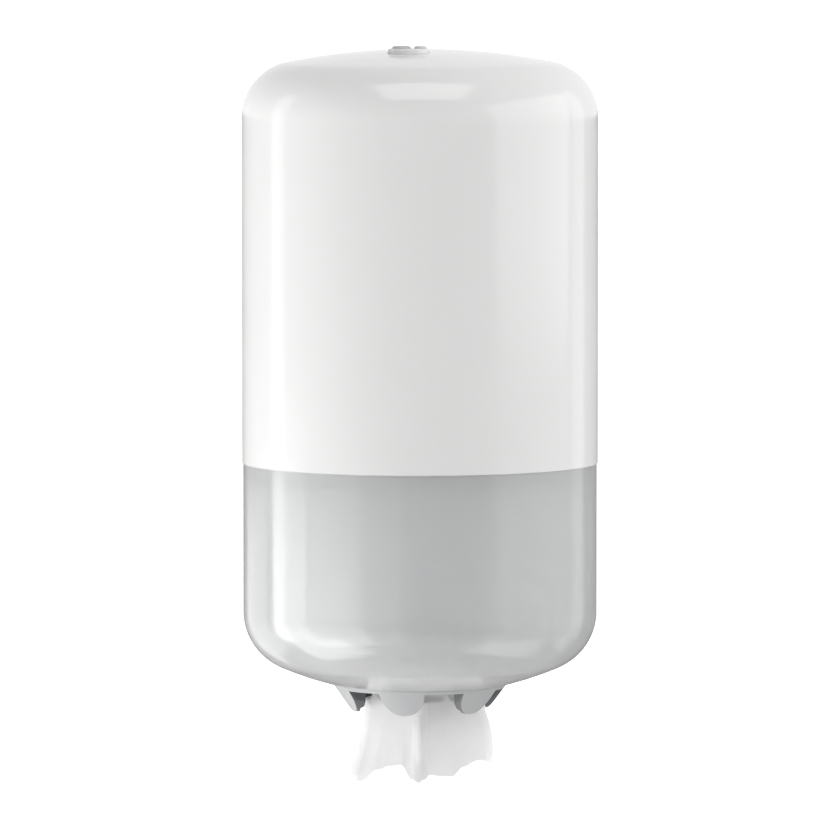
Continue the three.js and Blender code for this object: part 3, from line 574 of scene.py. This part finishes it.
# Cover: lower shell, with the tongue inside the seam, the nozzle's bearing, the posts and the hinge lugs
def lower_shell():
    rear = COVER_REAR - AXIS_Y
    inset = LOWER_INSET + LOWER_WALL
    outside, inside = Form(LOWER_INSET, rear), Form(inset, rear)
    shell = skin_between(outside.lower(SEAM, 8), inside.lower(SEAM, 8), "lower_shell")
    root_inset = LOWER_INSET + LOWER_WALL / 2
    low, high = SEAM - TONGUE_ROOT, SEAM + TONGUE_HEIGHT
    outer = [Form(root_inset, rear).wall(low), Form(root_inset, rear).wall(SEAM - 0.2 * MM)]
    outer += [Form(UPPER_WALL + GAP, rear).wall(SEAM - 0.1 * MM), Form(UPPER_WALL + GAP, rear).wall(high)]
    core = Form(UPPER_WALL + GAP + TONGUE_WALL, rear)
    inner = [core.wall(z) for z in (low, SEAM - 0.2 * MM, SEAM - 0.1 * MM, high)]
    join_to(shell, skin_between(outer, inner, "tool", closed_end=True))
    bearing_inner = MOUTH_RADIUS - 1.5 * MM
    radii = [bearing_inner + (BEARING_RADIUS - bearing_inner) * i / 6 for i in range(7)]
    bearing = [(r, bowl_height(r, LOWER_INSET + LOWER_WALL * 0.6)) for r in radii]
    bearing += [(BEARING_RADIUS, BEARING_TOP), (bearing_inner, BEARING_TOP)]
    join_to(shell, lathe(bearing, (0, AXIS_Y)))
    seat_under = SEAT[1].z - SEAT_RIM - SEAT_FLOOR - GAP
    for x, y in seat_posts():
        foot = bowl_height(POST_RING + 5 * MM, LOWER_INSET)
        join_to(shell, rod("Z", POST_RADIUS, foot, seat_under, (x, y)))
    foot = bowl_height(-HINGE_Y + AXIS_Y, LOWER_INSET)
    front = HINGE_Y - KNUCKLE_RADIUS
    for side, lug, ear in hinge_parts():
        join_to(shell, block((lug[0], front, foot), (lug[1], COVER_REAR, HINGE_Z)))
        join_to(shell, rod("X", KNUCKLE_RADIUS, lug[0], lug[1], (HINGE_Y, HINGE_Z), 48))
    mouth = ring_block(0, MOUTH_RADIUS, BASE_Z - 40 * MM, BEARING_TOP + OVERRUN)
    cut_from(shell, lathe(mouth, (0, AXIS_Y)))
    retainer_room = ring_block(0, RETAINER[1].x + GAP, BEARING_TOP, RETAINER[1].z + GAP)
    cut_from(shell, lathe(retainer_room, (0, AXIS_Y)))
    cut_from(shell, rod("X", PIN_RADIUS + GAP, -BODY_RADIUS, BODY_RADIUS, (HINGE_Y, HINGE_Z)))
    for side, lug, ear in hinge_parts():
        low, high = ear[0] - RUNNING_GAP, ear[1] + RUNNING_GAP
        cut_from(shell, rod("X", KNUCKLE_RADIUS + RUNNING_GAP, low, high, (HINGE_Y, HINGE_Z), 48))
        head = PIN_HEAD + GAP + RUNNING_GAP
        low, high = (low, high + head) if side > 0 else (low - head, high)
        cut_from(shell, rod("X", PIN_HEAD_RADIUS + RUNNING_GAP, low, high, (HINGE_Y, HINGE_Z), 48))
    for x, y in seat_posts():
        bored(shell, SCREW_HOLE, seat_under - SCREW_DEPTH, seat_under + OVERRUN, (x, y))
    for x, y in retainer_places():
        bored(shell, SCREW_HOLE, RETAINER[1].z - 6.7 * MM, RETAINER[1].z, (x, y))
    return finish_edges(shell, SMALL_EDGE, 3)


# Back plate: a shallow tray with ribs, screw bosses and hinge ears
def back_tray():
    front = COVER_REAR + RUNNING_GAP
    floor = -PLATE_FLOOR - AXIS_Y
    plate = whole_body(0, -AXIS_Y, "back_tray")
    cut_from(plate, whole_body(PLATE_RIM, floor))
    cut_from(plate, block((-0.3, -0.4, -0.4), (0.3, front, 0.4)))
    swing = rod("X", SWING_RADIUS, -SWING_HALF_WIDTH, SWING_HALF_WIDTH, (HINGE_Y, HINGE_Z), 64)
    cut_from(plate, swing)
    rib_front, rib_back = -PLATE_FLOOR - 3 * MM, -PLATE_FLOOR / 2
    for side in (1, -1):
        x = side * RIB_ACROSS
        low, high = WALL_HOLE_HEIGHTS[0], RIB_TOP
        join_to(plate, block((x - RIB_HALF, rib_front, low), (x + RIB_HALF, rib_back, high)))
        for z in WALL_HOLE_HEIGHTS:
            place = (side * WALL_HOLE_ACROSS, z)
            join_to(plate, rod("Y", WALL_BOSS, rib_front, rib_back, place, 48))
            cut_from(plate, rod("Y", WALL_HOLE, rib_front - OVERRUN, OVERRUN, place))
    for side, lug, ear in hinge_parts():
        join_to(plate, block((ear[0], HINGE_Y, HINGE_Z), (ear[1], rib_back, HINGE_Z + EAR_ARM)))
        join_to(plate, rod("X", KNUCKLE_RADIUS, ear[0], ear[1], (HINGE_Y, HINGE_Z), 48))
        low, high = ear[0] - OVERRUN, ear[1] + OVERRUN
        cut_from(plate, rod("X", PIN_RADIUS + GAP, low, high, (HINGE_Y, HINGE_Z)))
    return finish_edges(plate, 0.4 * MM, 3)


# Platform under the roll
def roll_seat():
    low, rim = SEAT[0].z, SEAT[1].z
    top = rim - SEAT_RIM
    under = top - SEAT_FLOOR
    profile = [
        (38, low), (40.2, low), (40.2, under), (72.5, under),
        (72.5, rim), (70.5, rim), (70.5, top), (38, top),
    ]
    seat = lathe([(r * MM, z) for r, z in profile], (0, AXIS_Y), name="roll_platform")
    cut_from(seat, block((-0.15, SEAT[1].y, low - OVERRUN), (0.15, 0.1, rim + OVERRUN)))
    for x, y in seat_posts():
        bored(seat, SCREW_HOLE, low - OVERRUN, top + OVERRUN, (x, y))
        bored(seat, 3.3 * MM, top - 1.8 * MM, top + OVERRUN, (x, y))
    return finish_edges(seat, SMALL_EDGE, 3)


def retaining_ring():
    low, high = RETAINER[0].z, RETAINER[1].z
    lip = high - 2.3 * MM
    profile = [(43.3, lip), (48, lip), (48, low), (56, low), (56, high), (43.3, high)]
    ring = lathe([(r * MM, z) for r, z in profile], (0, AXIS_Y), name="retaining_ring")
    for x, y in retainer_places():
        bored(ring, SCREW_HOLE, low - OVERRUN, high + OVERRUN, (x, y))
    return finish_edges(ring, SMALL_EDGE, 3)


# Nozzle: flange, neck and a cone that ends in rounded lobes
LOBES = 6
LOBE_HALF = math.radians(16)
LOBE_ROUNDNESS = 2.4
LOBE_STEPS = 30
GAP_STEPS = 10
LOBE_DROP = 12.4 * MM
RIM_DROP = 1.4 * MM
NECK_RADIUS = 41.9 * MM
LOBE_TIP_RADIUS = 33.2 * MM
FIN_RADIUS = 30.9 * MM
FIN_TOP = 3 * MM
FIN_ACROSS = (0.7, 0.93)


def lobed_nozzle():
    slope = (NECK_RADIUS - LOBE_TIP_RADIUS) / LOBE_DROP
    columns = []
    pitch = 2 * math.pi / LOBES
    for lobe in range(LOBES):
        centre = lobe * pitch - math.pi / 2
        for k in range(LOBE_STEPS + 1):
            across = -math.cos(math.pi * k / LOBE_STEPS)
            drop = (1 - abs(across) ** LOBE_ROUNDNESS) ** (1 / LOBE_ROUNDNESS)
            fin = FIN_ACROSS[0] <= abs(across) <= FIN_ACROSS[1]
            columns.append((centre + across * LOBE_HALF, drop, fin))
        for k in range(1, GAP_STEPS):
            share = k / GAP_STEPS
            columns.append((centre + LOBE_HALF + (pitch - 2 * LOBE_HALF) * share, 0, False))
    flange, top, low = NOZZLE[1].x, NOZZLE[1].z, NOZZLE[1].z - 2.2 * MM
    inner = NECK_RADIUS - 2 * MM
    wall = 1.7 * MM * math.hypot(1, slope)
    rows = 12
    points = []
    for turn, drop, fin in columns:
        depth = RIM_DROP + (LOBE_DROP - RIM_DROP) * drop
        limit = FIN_RADIUS if fin else inner
        profile = [(flange, low), (flange, top), (inner, top), (inner, BASE_Z + FIN_TOP)]
        profile.append((min(NECK_RADIUS - wall, limit), BASE_Z))
        shares = [(i + 1) / rows for i in range(rows)]
        cone = [(NECK_RADIUS - slope * depth * s, BASE_Z - depth * s) for s in shares]
        profile += [(min(radius - wall, limit), z) for radius, z in cone]
        profile += cone[::-1]
        profile += [(NECK_RADIUS, BASE_Z), (NECK_RADIUS, low)]
        points += [(r * math.cos(turn), AXIS_Y + r * math.sin(turn), z) for r, z in profile]
    count = len(profile)
    faces = []
    for j in range(len(columns)):
        here, beside = j * count, (j + 1) % len(columns) * count
        for k in range(count):
            after = (k + 1) % count
            faces.append((here + k, beside + k, beside + after, here + after))
    obj = new_object("lobed_nozzle", points, faces)
    return finish_edges(obj, 0.4 * MM, 3, angle=50)


def paint_shade_inside(nozzle):
    """Gives the nozzle's inner faces and the sides of its lobes a dark grey as painted shade, for the
    shadow inside the nozzle and between its lobes.
    """
    slope = (NECK_RADIUS - LOBE_TIP_RADIUS) / LOBE_DROP
    nozzle.data.materials.append(PAINTED_SHADE_GREY)
    for face in nozzle.data.polygons:
        x, y, z = face.center
        depth = max(0, BASE_Z - z)
        outer = NECK_RADIUS - slope * depth
        inside = math.hypot(x, y - AXIS_Y) < outer - 0.45 * MM
        # Painted shade: faces inside the cone, below the top of the fins, take the dark grey.
        face.material_index = 1 if inside and z < BASE_Z + FIN_TOP else 0


# Lock in the crown
def lock_parts():
    centre = middle_of(BEZEL)
    low, top = BEZEL[0].z, BEZEL[1].z
    flange, flange_radius, edge = low + 2.5 * MM, 13 * MM, 0.9 * MM
    profile = [(0, low), (flange_radius, low), (flange_radius, flange), (BEZEL_RADIUS, flange)]
    profile.append((BEZEL_RADIUS, top - edge))
    for k in range(1, 5):
        turn = math.pi / 8 * k
        profile.append((BEZEL_RADIUS - edge * (1 - math.cos(turn)), top - edge + edge * math.sin(turn)))
    bezel = lathe(profile + [(0, top)], centre, name="lock_boss")
    places = [(middle_of(box)[0], centre[1]) for box in (BUTTON, BARREL)]
    for (x, y), radius in zip(places, (4.9 * MM, 3.3 * MM)):
        cut_from(bezel, rod("Z", radius, low - OVERRUN, top + OVERRUN, (x, y), 64))
    finish_edges(bezel, 0.2 * MM, 2)

    foot, head = BUTTON[0].z, BUTTON[1].z
    flange_low = low - GAP - 2.2 * MM
    profile = [(0, foot), (2.2, foot), (2.2, flange_low), (5.2, flange_low), (5.2, low - GAP)]
    profile += [(4.6, low - GAP), (4.6, head - 1.1 * MM), (4.45, head - 0.6 * MM)]
    profile += [(4.1, head - 0.25 * MM), (3.5, head)]
    profile += [(2.6, head - 0.12 * MM), (1.3, head - 0.24 * MM), (0, head - 0.28 * MM)]
    button = lathe([(r * MM, z) for r, z in profile], places[0], 64, name="press_button")
    finish_edges(button, 0.15 * MM, 2)

    foot, head = BARREL[0].z, BARREL[1].z
    collar = foot + 1.8 * MM
    profile = [(0, foot), (3.8, foot), (3.8, collar), (3, collar), (3, head - 0.5 * MM)]
    profile += [(2.85, head - 0.2 * MM), (2.5, head), (0, head)]
    barrel = lathe([(r * MM, z) for r, z in profile], places[1], 64, name="key_plug")
    x, y = places[1]
    half, reach = 0.45 * MM, 1.8 * MM
    keyway = block((x - half, y - reach, head - 1.2 * MM), (x + half, y + reach, head + OVERRUN))
    cut_from(barrel, keyway)
    finish_edges(barrel, 0.12 * MM, 2)
    return bezel, button, barrel


# Paper roll, with slightly uneven layers at its ends
def paper_roll():
    low, high = ROLL[0].z, ROLL[1].z
    outer, bore = 67 * MM, 28 * MM
    layers = 64
    profile = []
    for k in range(layers + 1):
        share = k / layers
        radius = bore + 0.6 * MM + (outer - bore - 1.8 * MM) * share
        dip = 0.35 * MM * (0.5 + 0.5 * math.sin(share * 37) * math.sin(share * 11 + 1))
        profile.append((radius, dip))
    lower = [(bore, low + 0.8 * MM)] + [(r, low + d) for r, d in profile]
    lower.append((outer, low + 1.3 * MM))
    upper = [(outer, high - 1.3 * MM)] + [(r, high - d) for r, d in reversed(profile)]
    upper.append((bore, high - 0.8 * MM))
    roll = lathe(lower + upper, (0, AXIS_Y), 160, name="wound_roll")
    shade(roll, 50)
    return roll


# Paper tail: one gathered strip out of the roll's core, through the nozzle and down to its torn hem.
# Turns are in degrees from the front, and radii and heights in millimetres.
# Each corner of the skirt's section: its turn, its radius at the nozzle's mouth and its radius at the hem
CORNERS = [
    (-72, 28, 39), (14.5, 23, 25), (98, 34, 38), (150, 27.5, 28.5), (205, 28, 29), (250, 27, 29),
]
# The torn hem's drop below the mouth at each turn
HEM_DROPS = [
    (-78, 34.2), (-62, 34.2), (-44, 28), (-30, 26), (-12, 25), (3, 31.8), (11, 33.3), (18, 31.8),
    (25, 29.6), (41, 30.6), (57, 31), (71, 26.6), (85, 23.8), (100, 26.6), (116, 24), (150, 25),
    (180, 23), (214, 28), (240, 24.5), (262, 29),
]
# The gaps between the lobes that the paper stands up in
PEAK_TURNS = (-61, 53, 118, 180, 238)
# Heights above the mouth and radii of the strip as it narrows to the throat and opens to the core
THROAT = [(8.5, 17), (18, 15), (30, 12), (46, 9.5), (60, 9.5), (72, 17), (78, 27)]
THROAT_STEPS = 10
TAIL_COLUMNS = 480
SKIRT_ROWS = 36
HOLD = 5


def between_corners(degrees, at):
    """Radius of the straight-sided section, where 1 is the mouth and 2 the hem."""
    for here, after in zip(CORNERS, CORNERS[1:] + CORNERS[:1]):
        span = (after[0] - here[0]) % 360
        turn = (degrees - here[0]) % 360
        if turn < span:
            first, rest = math.radians(turn), math.radians(span - turn)
            reach = here[at] * math.sin(first) + after[at] * math.sin(rest)
            return here[at] * after[at] * math.sin(first + rest) / reach


def section_radius(degrees, at):
    return sum(between_corners(degrees + offset, at) for offset in (-8, -4, 0, 4, 8)) / 5


def hem_drop(degrees):
    for (turn, drop), (after, next_drop) in zip(HEM_DROPS, HEM_DROPS[1:] + HEM_DROPS[:1]):
        share = (degrees - turn) % 360 / ((after - turn) % 360)
        if share < 1:
            return drop + (next_drop - drop) * share * share * (3 - 2 * share)


def hump(degrees, turn, spread):
    away = (degrees - turn + 180) % 360 - 180
    return math.exp(-((away / spread) ** 2))


def skirt_radius(degrees, share, mouth, hem):
    """Radius of the hanging skirt, at a share of the way from the nozzle's mouth to the hem."""
    radius = mouth + (hem - mouth) * share
    radius += 1.8 * math.sin(math.pi * share) * (hump(degrees, 98, 26) - hump(degrees, -72, 20))
    pleat = math.sin(math.pi * min(1, share / 0.78))
    radius += 1.5 * pleat * hump(degrees, 14, 3 + 4 * pleat)
    curl = max(0, share - 0.8) / 0.2
    radius -= 2 * curl * curl * hump(degrees, -66, 12)
    broad = math.sin(math.radians(5 * degrees + 40 * share))
    broad += 0.6 * math.sin(math.radians(11 * degrees - 60 * share))
    return radius + 0.12 * broad * share


def gathered(degrees, plain, rise):
    """Radius of the strip above the nozzle, with the fine folds that it is gathered into."""
    wave = 0.5 - 0.5 * math.cos(math.radians(degrees * 24) + 0.6 * math.sin(math.radians(degrees * 5)))
    return plain - wave * min(plain * 0.36, 4.2) * max(0, 1 - abs(rise - 48) / 38)


def paper_tail():
    mouth_z = BASE_Z - LOBE_DROP
    columns = [360 * i / TAIL_COLUMNS for i in range(TAIL_COLUMNS)]
    mouths = [section_radius(degrees, 1) for degrees in columns]
    hems = [(section_radius(degrees, 2), hem_drop(degrees)) for degrees in columns]
    rows = []
    for k in range(SKIRT_ROWS + 1):
        share = 1 - k / SKIRT_ROWS
        row = []
        for degrees, (hem, drop), mouth in zip(columns, hems, mouths):
            row.append((degrees, skirt_radius(degrees, share, mouth, hem), mouth_z - drop * share * MM))
        rows.append(row)
    rows.append([(degrees, mouth, mouth_z + HOLD * MM) for degrees, mouth in zip(columns, mouths)])
    last_height, last_width = HOLD, None
    for height, width in THROAT:
        for k in range(1, THROAT_STEPS + 1):
            ease = k / THROAT_STEPS
            row = []
            for degrees, mouth in zip(columns, mouths):
                start = mouth if last_width is None else last_width
                plain = start + (width - start) * (ease * ease * (3 - 2 * ease))
                rise = last_height + (height - last_height) * ease
                hold = max(0, min(1, (11 - rise) / 2.5))
                peak = min(1, sum(hump(degrees, turn, 8) for turn in PEAK_TURNS))
                plain += max(0, mouth - plain) * peak * hold
                row.append((degrees, gathered(degrees, plain, rise), mouth_z + rise * MM))
            rows.append(row)
        last_height, last_width = height, width
    points, faces = [], []
    for row in rows:
        for degrees, radius, z in row:
            turn = math.radians(degrees) - math.pi / 2
            points.append((radius * MM * math.cos(turn), AXIS_Y + radius * MM * math.sin(turn), z))
    for k in range(len(rows) - 1):
        for j in range(TAIL_COLUMNS):
            after = (j + 1) % TAIL_COLUMNS
            a, b = k * TAIL_COLUMNS, (k + 1) * TAIL_COLUMNS
            faces.append((a + j, a + after, b + after, b + j))
    tail = new_object("paper_sheet", points, faces)
    thick = tail.modifiers.new("ply", "SOLIDIFY")
    thick.thickness = 0.25 * MM
    thick.offset = -1
    apply_modifiers(tail)
    shade(tail, 60)
    return tail


# Small hardware
def copy_of(node, name):
    obj = bpy.data.objects.new(name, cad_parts[node].data.copy())
    bpy.context.scene.collection.objects.link(obj)
    tidy_mesh(obj, 1e-5)
    return obj


def softened(node, name, width):
    """A copy of a CAD node's mesh with its edges rounded."""
    obj = copy_of(node, name)
    work = bmesh.new()
    work.from_mesh(obj.data)
    bmesh.ops.dissolve_limit(work, angle_limit=math.radians(1), verts=work.verts, edges=work.edges)
    work.to_mesh(obj.data)
    work.free()
    return finish_edges(obj, width, 2)


def pan_screw(node, head):
    """A slotted pan-head screw in a CAD screw's place, its head towards +Z, -Z or -Y."""
    low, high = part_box(node)
    length = (high.y - low.y) if head == "-Y" else (high.z - low.z)
    crown, radius, shank, edge = 1.5 * MM, 3 * MM, 1.4 * MM, 0.9 * MM
    tip = -length + crown
    profile = [(0, tip), (0.5 * MM, tip), (shank, tip + shank), (shank, 0), (radius, 0)]
    for k in range(6):
        turn = math.pi / 10 * k
        profile.append((radius - edge * (1 - math.cos(turn)), crown - edge + edge * math.sin(turn)))
    screw = lathe(profile + [(0, crown)], segments=40, name=node + "_head")
    slot = block((-radius, -0.4 * MM, crown - 0.7 * MM), (radius, 0.4 * MM, crown + OVERRUN))
    cut_from(screw, slot)
    finish_edges(screw, 0.08 * MM, 2)
    middle = (low + high) / 2
    places = {
        "+Z": ((middle.x, middle.y, high.z - crown), 0),
        "-Z": ((middle.x, middle.y, low.z + crown), math.pi),
        "-Y": ((middle.x, low.y + crown, middle.z), math.pi / 2),
    }
    place, tilt = places[head]
    screw.data.transform(Matrix.Translation(place) @ Matrix.Rotation(tilt, 4, "X"))
    return screw


def plain_pin(node, heads=()):
    low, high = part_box(node)
    middle = (low + high) / 2
    radius = PIN_RADIUS if heads else (high.z - low.z) / 2
    pin = rod("X", radius, low.x, high.x, (middle.y, middle.z), 40, node + "_rod")
    for start, end in heads:
        join_to(pin, rod("X", PIN_HEAD_RADIUS, start, end, (middle.y, middle.z), 40))
    return finish_edges(pin, 0.25 * MM, 3)


ride(upper_shell(), "cover", "white_gloss", WHITE, "cover_upper_shell")
ride(lower_shell(), "cover", "smoke_translucent", SMOKE, "cover_lower_shell")
ride(back_tray(), "back", "white_plastic", WHITE, "back_plate")
ride(roll_seat(), "cover", "white_plastic", INNER, "roll_seat")
ride(retaining_ring(), "cover", "grey_plastic", GREY, "nozzle_retainer")
# The nozzle's inner faces and lobe sides get the painted shade.
paint_shade_inside(ride(lobed_nozzle(), "nozzle", "grey_plastic", NOZZLE_GREY, "nozzle"))
bezel, button, barrel = lock_parts()
ride(bezel, "cover", "light_grey_plastic", WHITE, "lock_bezel")
ride(button, "button", "dark_grey_plastic", GREY, "lock_button")
ride(barrel, "key", "light_grey_plastic", LIGHT_GREY, "key_barrel")
roll = ride(paper_roll(), "cover", "paper", ROLL_SIDE, "paper_roll")
roll.data.materials.append(ROLL_END)
for face in roll.data.polygons:
    face.material_index = 1 if abs(face.normal.z) > 0.7 else 0
tail = ride(paper_tail(), "nozzle", "paper", TISSUE, "paper_tail")
ride(softened("latch_lever", "lever_arm", 0.25 * MM), "latch", "grey_plastic", GREY, "latch_lever")
ride(softened("lock_frame", "lock_channel", 0.25 * MM), "cover", "white_plastic", INNER, "lock_frame")
catch = softened("catch_bracket", "catch_hook_plate", 0.25 * MM)
ride(catch, "back", "light_grey_plastic", LIGHT_GREY, "catch_bracket")
for i in range(1, 5):
    ride(pan_screw(f"seat_screw_{i}", "+Z"), "cover", "screw_steel", STEEL, f"seat_screw_{i}")
    ride(pan_screw(f"frame_screw_{i}", "-Z"), "cover", "screw_steel", STEEL, f"frame_screw_{i}")
for i in range(1, 4):
    ride(pan_screw(f"retainer_screw_{i}", "+Z"), "cover", "screw_steel", STEEL, f"retainer_screw_{i}")
for i in range(1, 3):
    ride(pan_screw(f"catch_screw_{i}", "-Y"), "back", "screw_steel", STEEL, f"catch_screw_{i}")
for side, word in ((1, "right"), (-1, "left")):
    low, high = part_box(f"hinge_pin_{word}")
    head = (high.x - PIN_HEAD, high.x) if side > 0 else (low.x, low.x + PIN_HEAD)
    ride(plain_pin(f"hinge_pin_{word}", [head]), "back", "screw_steel", STEEL, f"hinge_pin_{word}")
ride(plain_pin("lever_pin"), "cover", "screw_steel", STEEL, "lever_pin")
spring = ride(copy_of("latch_spring", "return_spring"), "cover", "screw_steel", STEEL, "latch_spring")
shade(spring, 50)
low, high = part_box("latch_spring")
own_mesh(spring)


# Floor, world, lamps and camera. Lamps stand round the roll's axis, at azimuths from the camera's own.
AMBIENT = 0.26
FLOOR_Z = -1.3
FLOOR_SIZE = 60
VIEW_AZIMUTH = math.radians(13)
VIEW_DISTANCE = 4.5
VIEW_HEIGHT = BASE_Z + 451.1 * MM
VIEW_LENS = 399.9
AIM = Vector((0, AXIS_Y, BASE_Z + 128.1 * MM))


def studio_floor():
    n = Nodes("studio_floor")
    path = n.add("ShaderNodeLightPath")
    n.shade(
        Base_Color=n.ramp(n.noise(3, 4), [(0.3, (0.86, 0.86, 0.86)), (0.7, (0.88, 0.88, 0.88))]),
        Roughness=n.between(n.noise(40, 3), 0.6, 0.7),
        Emission_Color=(1, 1, 1, 1), Specular_IOR_Level=0.2)
    n.tree.links.new(path.outputs["Is Camera Ray"], n.shader.inputs["Emission Strength"])
    return n.material


floor_work = bmesh.new()
bmesh.ops.create_grid(floor_work, x_segments=2, y_segments=2, size=FLOOR_SIZE)
floor_mesh = bpy.data.meshes.new("floor")
floor_work.to_mesh(floor_mesh)
floor_work.free()
floor = bpy.data.objects.new("floor", floor_mesh)
floor.location = (0, 0, FLOOR_Z)
bpy.context.scene.collection.objects.link(floor)
floor_mesh.materials.append(studio_floor())

world = bpy.data.worlds.new("studio")
bpy.context.scene.world = world
world.use_nodes = True
tree = world.node_tree
ground = tree.nodes["Background"]
path = tree.nodes.new("ShaderNodeLightPath")
seen = tree.nodes.new("ShaderNodeMath")
seen.operation = "MAXIMUM"
tree.links.new(path.outputs["Is Camera Ray"], seen.inputs[0])
shown = tree.nodes.new("ShaderNodeMath")
shown.operation = "MAXIMUM"
tree.links.new(path.outputs["Is Glossy Ray"], shown.inputs[0])
tree.links.new(path.outputs["Is Transmission Ray"], shown.inputs[1])
tree.links.new(shown.outputs[0], seen.inputs[1])
level = tree.nodes.new("ShaderNodeMapRange")
level.inputs["To Min"].default_value = AMBIENT
level.inputs["To Max"].default_value = 1.0
tree.links.new(seen.outputs[0], level.inputs["Value"])
tree.links.new(level.outputs["Result"], ground.inputs["Strength"])
ground.inputs["Color"].default_value = (1, 1, 1, 1)


def round_axis(azimuth, distance, height):
    """A point at an azimuth from the camera's own, positive to the camera's right."""
    turn = VIEW_AZIMUTH + math.radians(azimuth)
    return Vector((distance * math.sin(turn), AXIS_Y - distance * math.cos(turn), height))


def softbox(name, azimuth, distance, height, size, radiance):
    """A rectangular lamp that faces the object and looks equally bright at any size."""
    data = bpy.data.lights.new(name, "AREA")
    data.shape = "RECTANGLE"
    data.size, data.size_y = size
    data.energy = radiance * math.pi * size[0] * size[1]
    lamp = bpy.data.objects.new(name, data)
    lamp.location = round_axis(azimuth, distance, height)
    towards = AIM - lamp.location
    lamp.rotation_euler = towards.to_track_quat("-Z", "Y").to_euler()
    lamp.visible_camera = False
    bpy.context.scene.collection.objects.link(lamp)


softbox("left_strip", -103, 1.6, -0.05, (0.36, 2.3), 1.4)
softbox("low_left_strip", -93.5, 1.5, -0.53, (0.86, 0.72), 2.9)
softbox("low_left_edge", -134, 1.5, -0.62, (1.0, 0.9), 0.95)
softbox("low_left_panel", -60, 1.5, -0.72, (1.3, 1.1), 1.45)
softbox("low_left_fill", -43, 1.5, -0.72, (2.0, 1.1), 0.75)
softbox("left_foot_panel", -75, 0.9, -1.15, (1.0, 1.0), 2.2)
softbox("right_panel", 80, 1.7, 0.5, (2.2, 1.3), 1.5)
softbox("right_low_panel", 80, 1.7, -0.62, (2.2, 0.9), 0.55)
softbox("right_edge_strip", 122, 1.7, -0.1, (0.5, 2.2), 0.8)
softbox("right_foot_panel", 72, 0.9, -1.24, (1.2, 1.1), 1.2)
softbox("top_panel", 4, 0.9, 2.2, (1.8, 1.6), 2.45)

camera_data = bpy.data.cameras.new("camera")
camera_data.sensor_width = 36
camera_data.lens = VIEW_LENS
camera = bpy.data.objects.new("camera", camera_data)
camera.location = round_axis(0, VIEW_DISTANCE, VIEW_HEIGHT)
camera.rotation_euler = (AIM - camera.location).to_track_quat("-Z", "Y").to_euler()
camera_data.clip_end = 200
bpy.context.scene.collection.objects.link(camera)
bpy.context.scene.camera = camera

view = bpy.context.scene.view_settings
view.view_transform = "Standard"
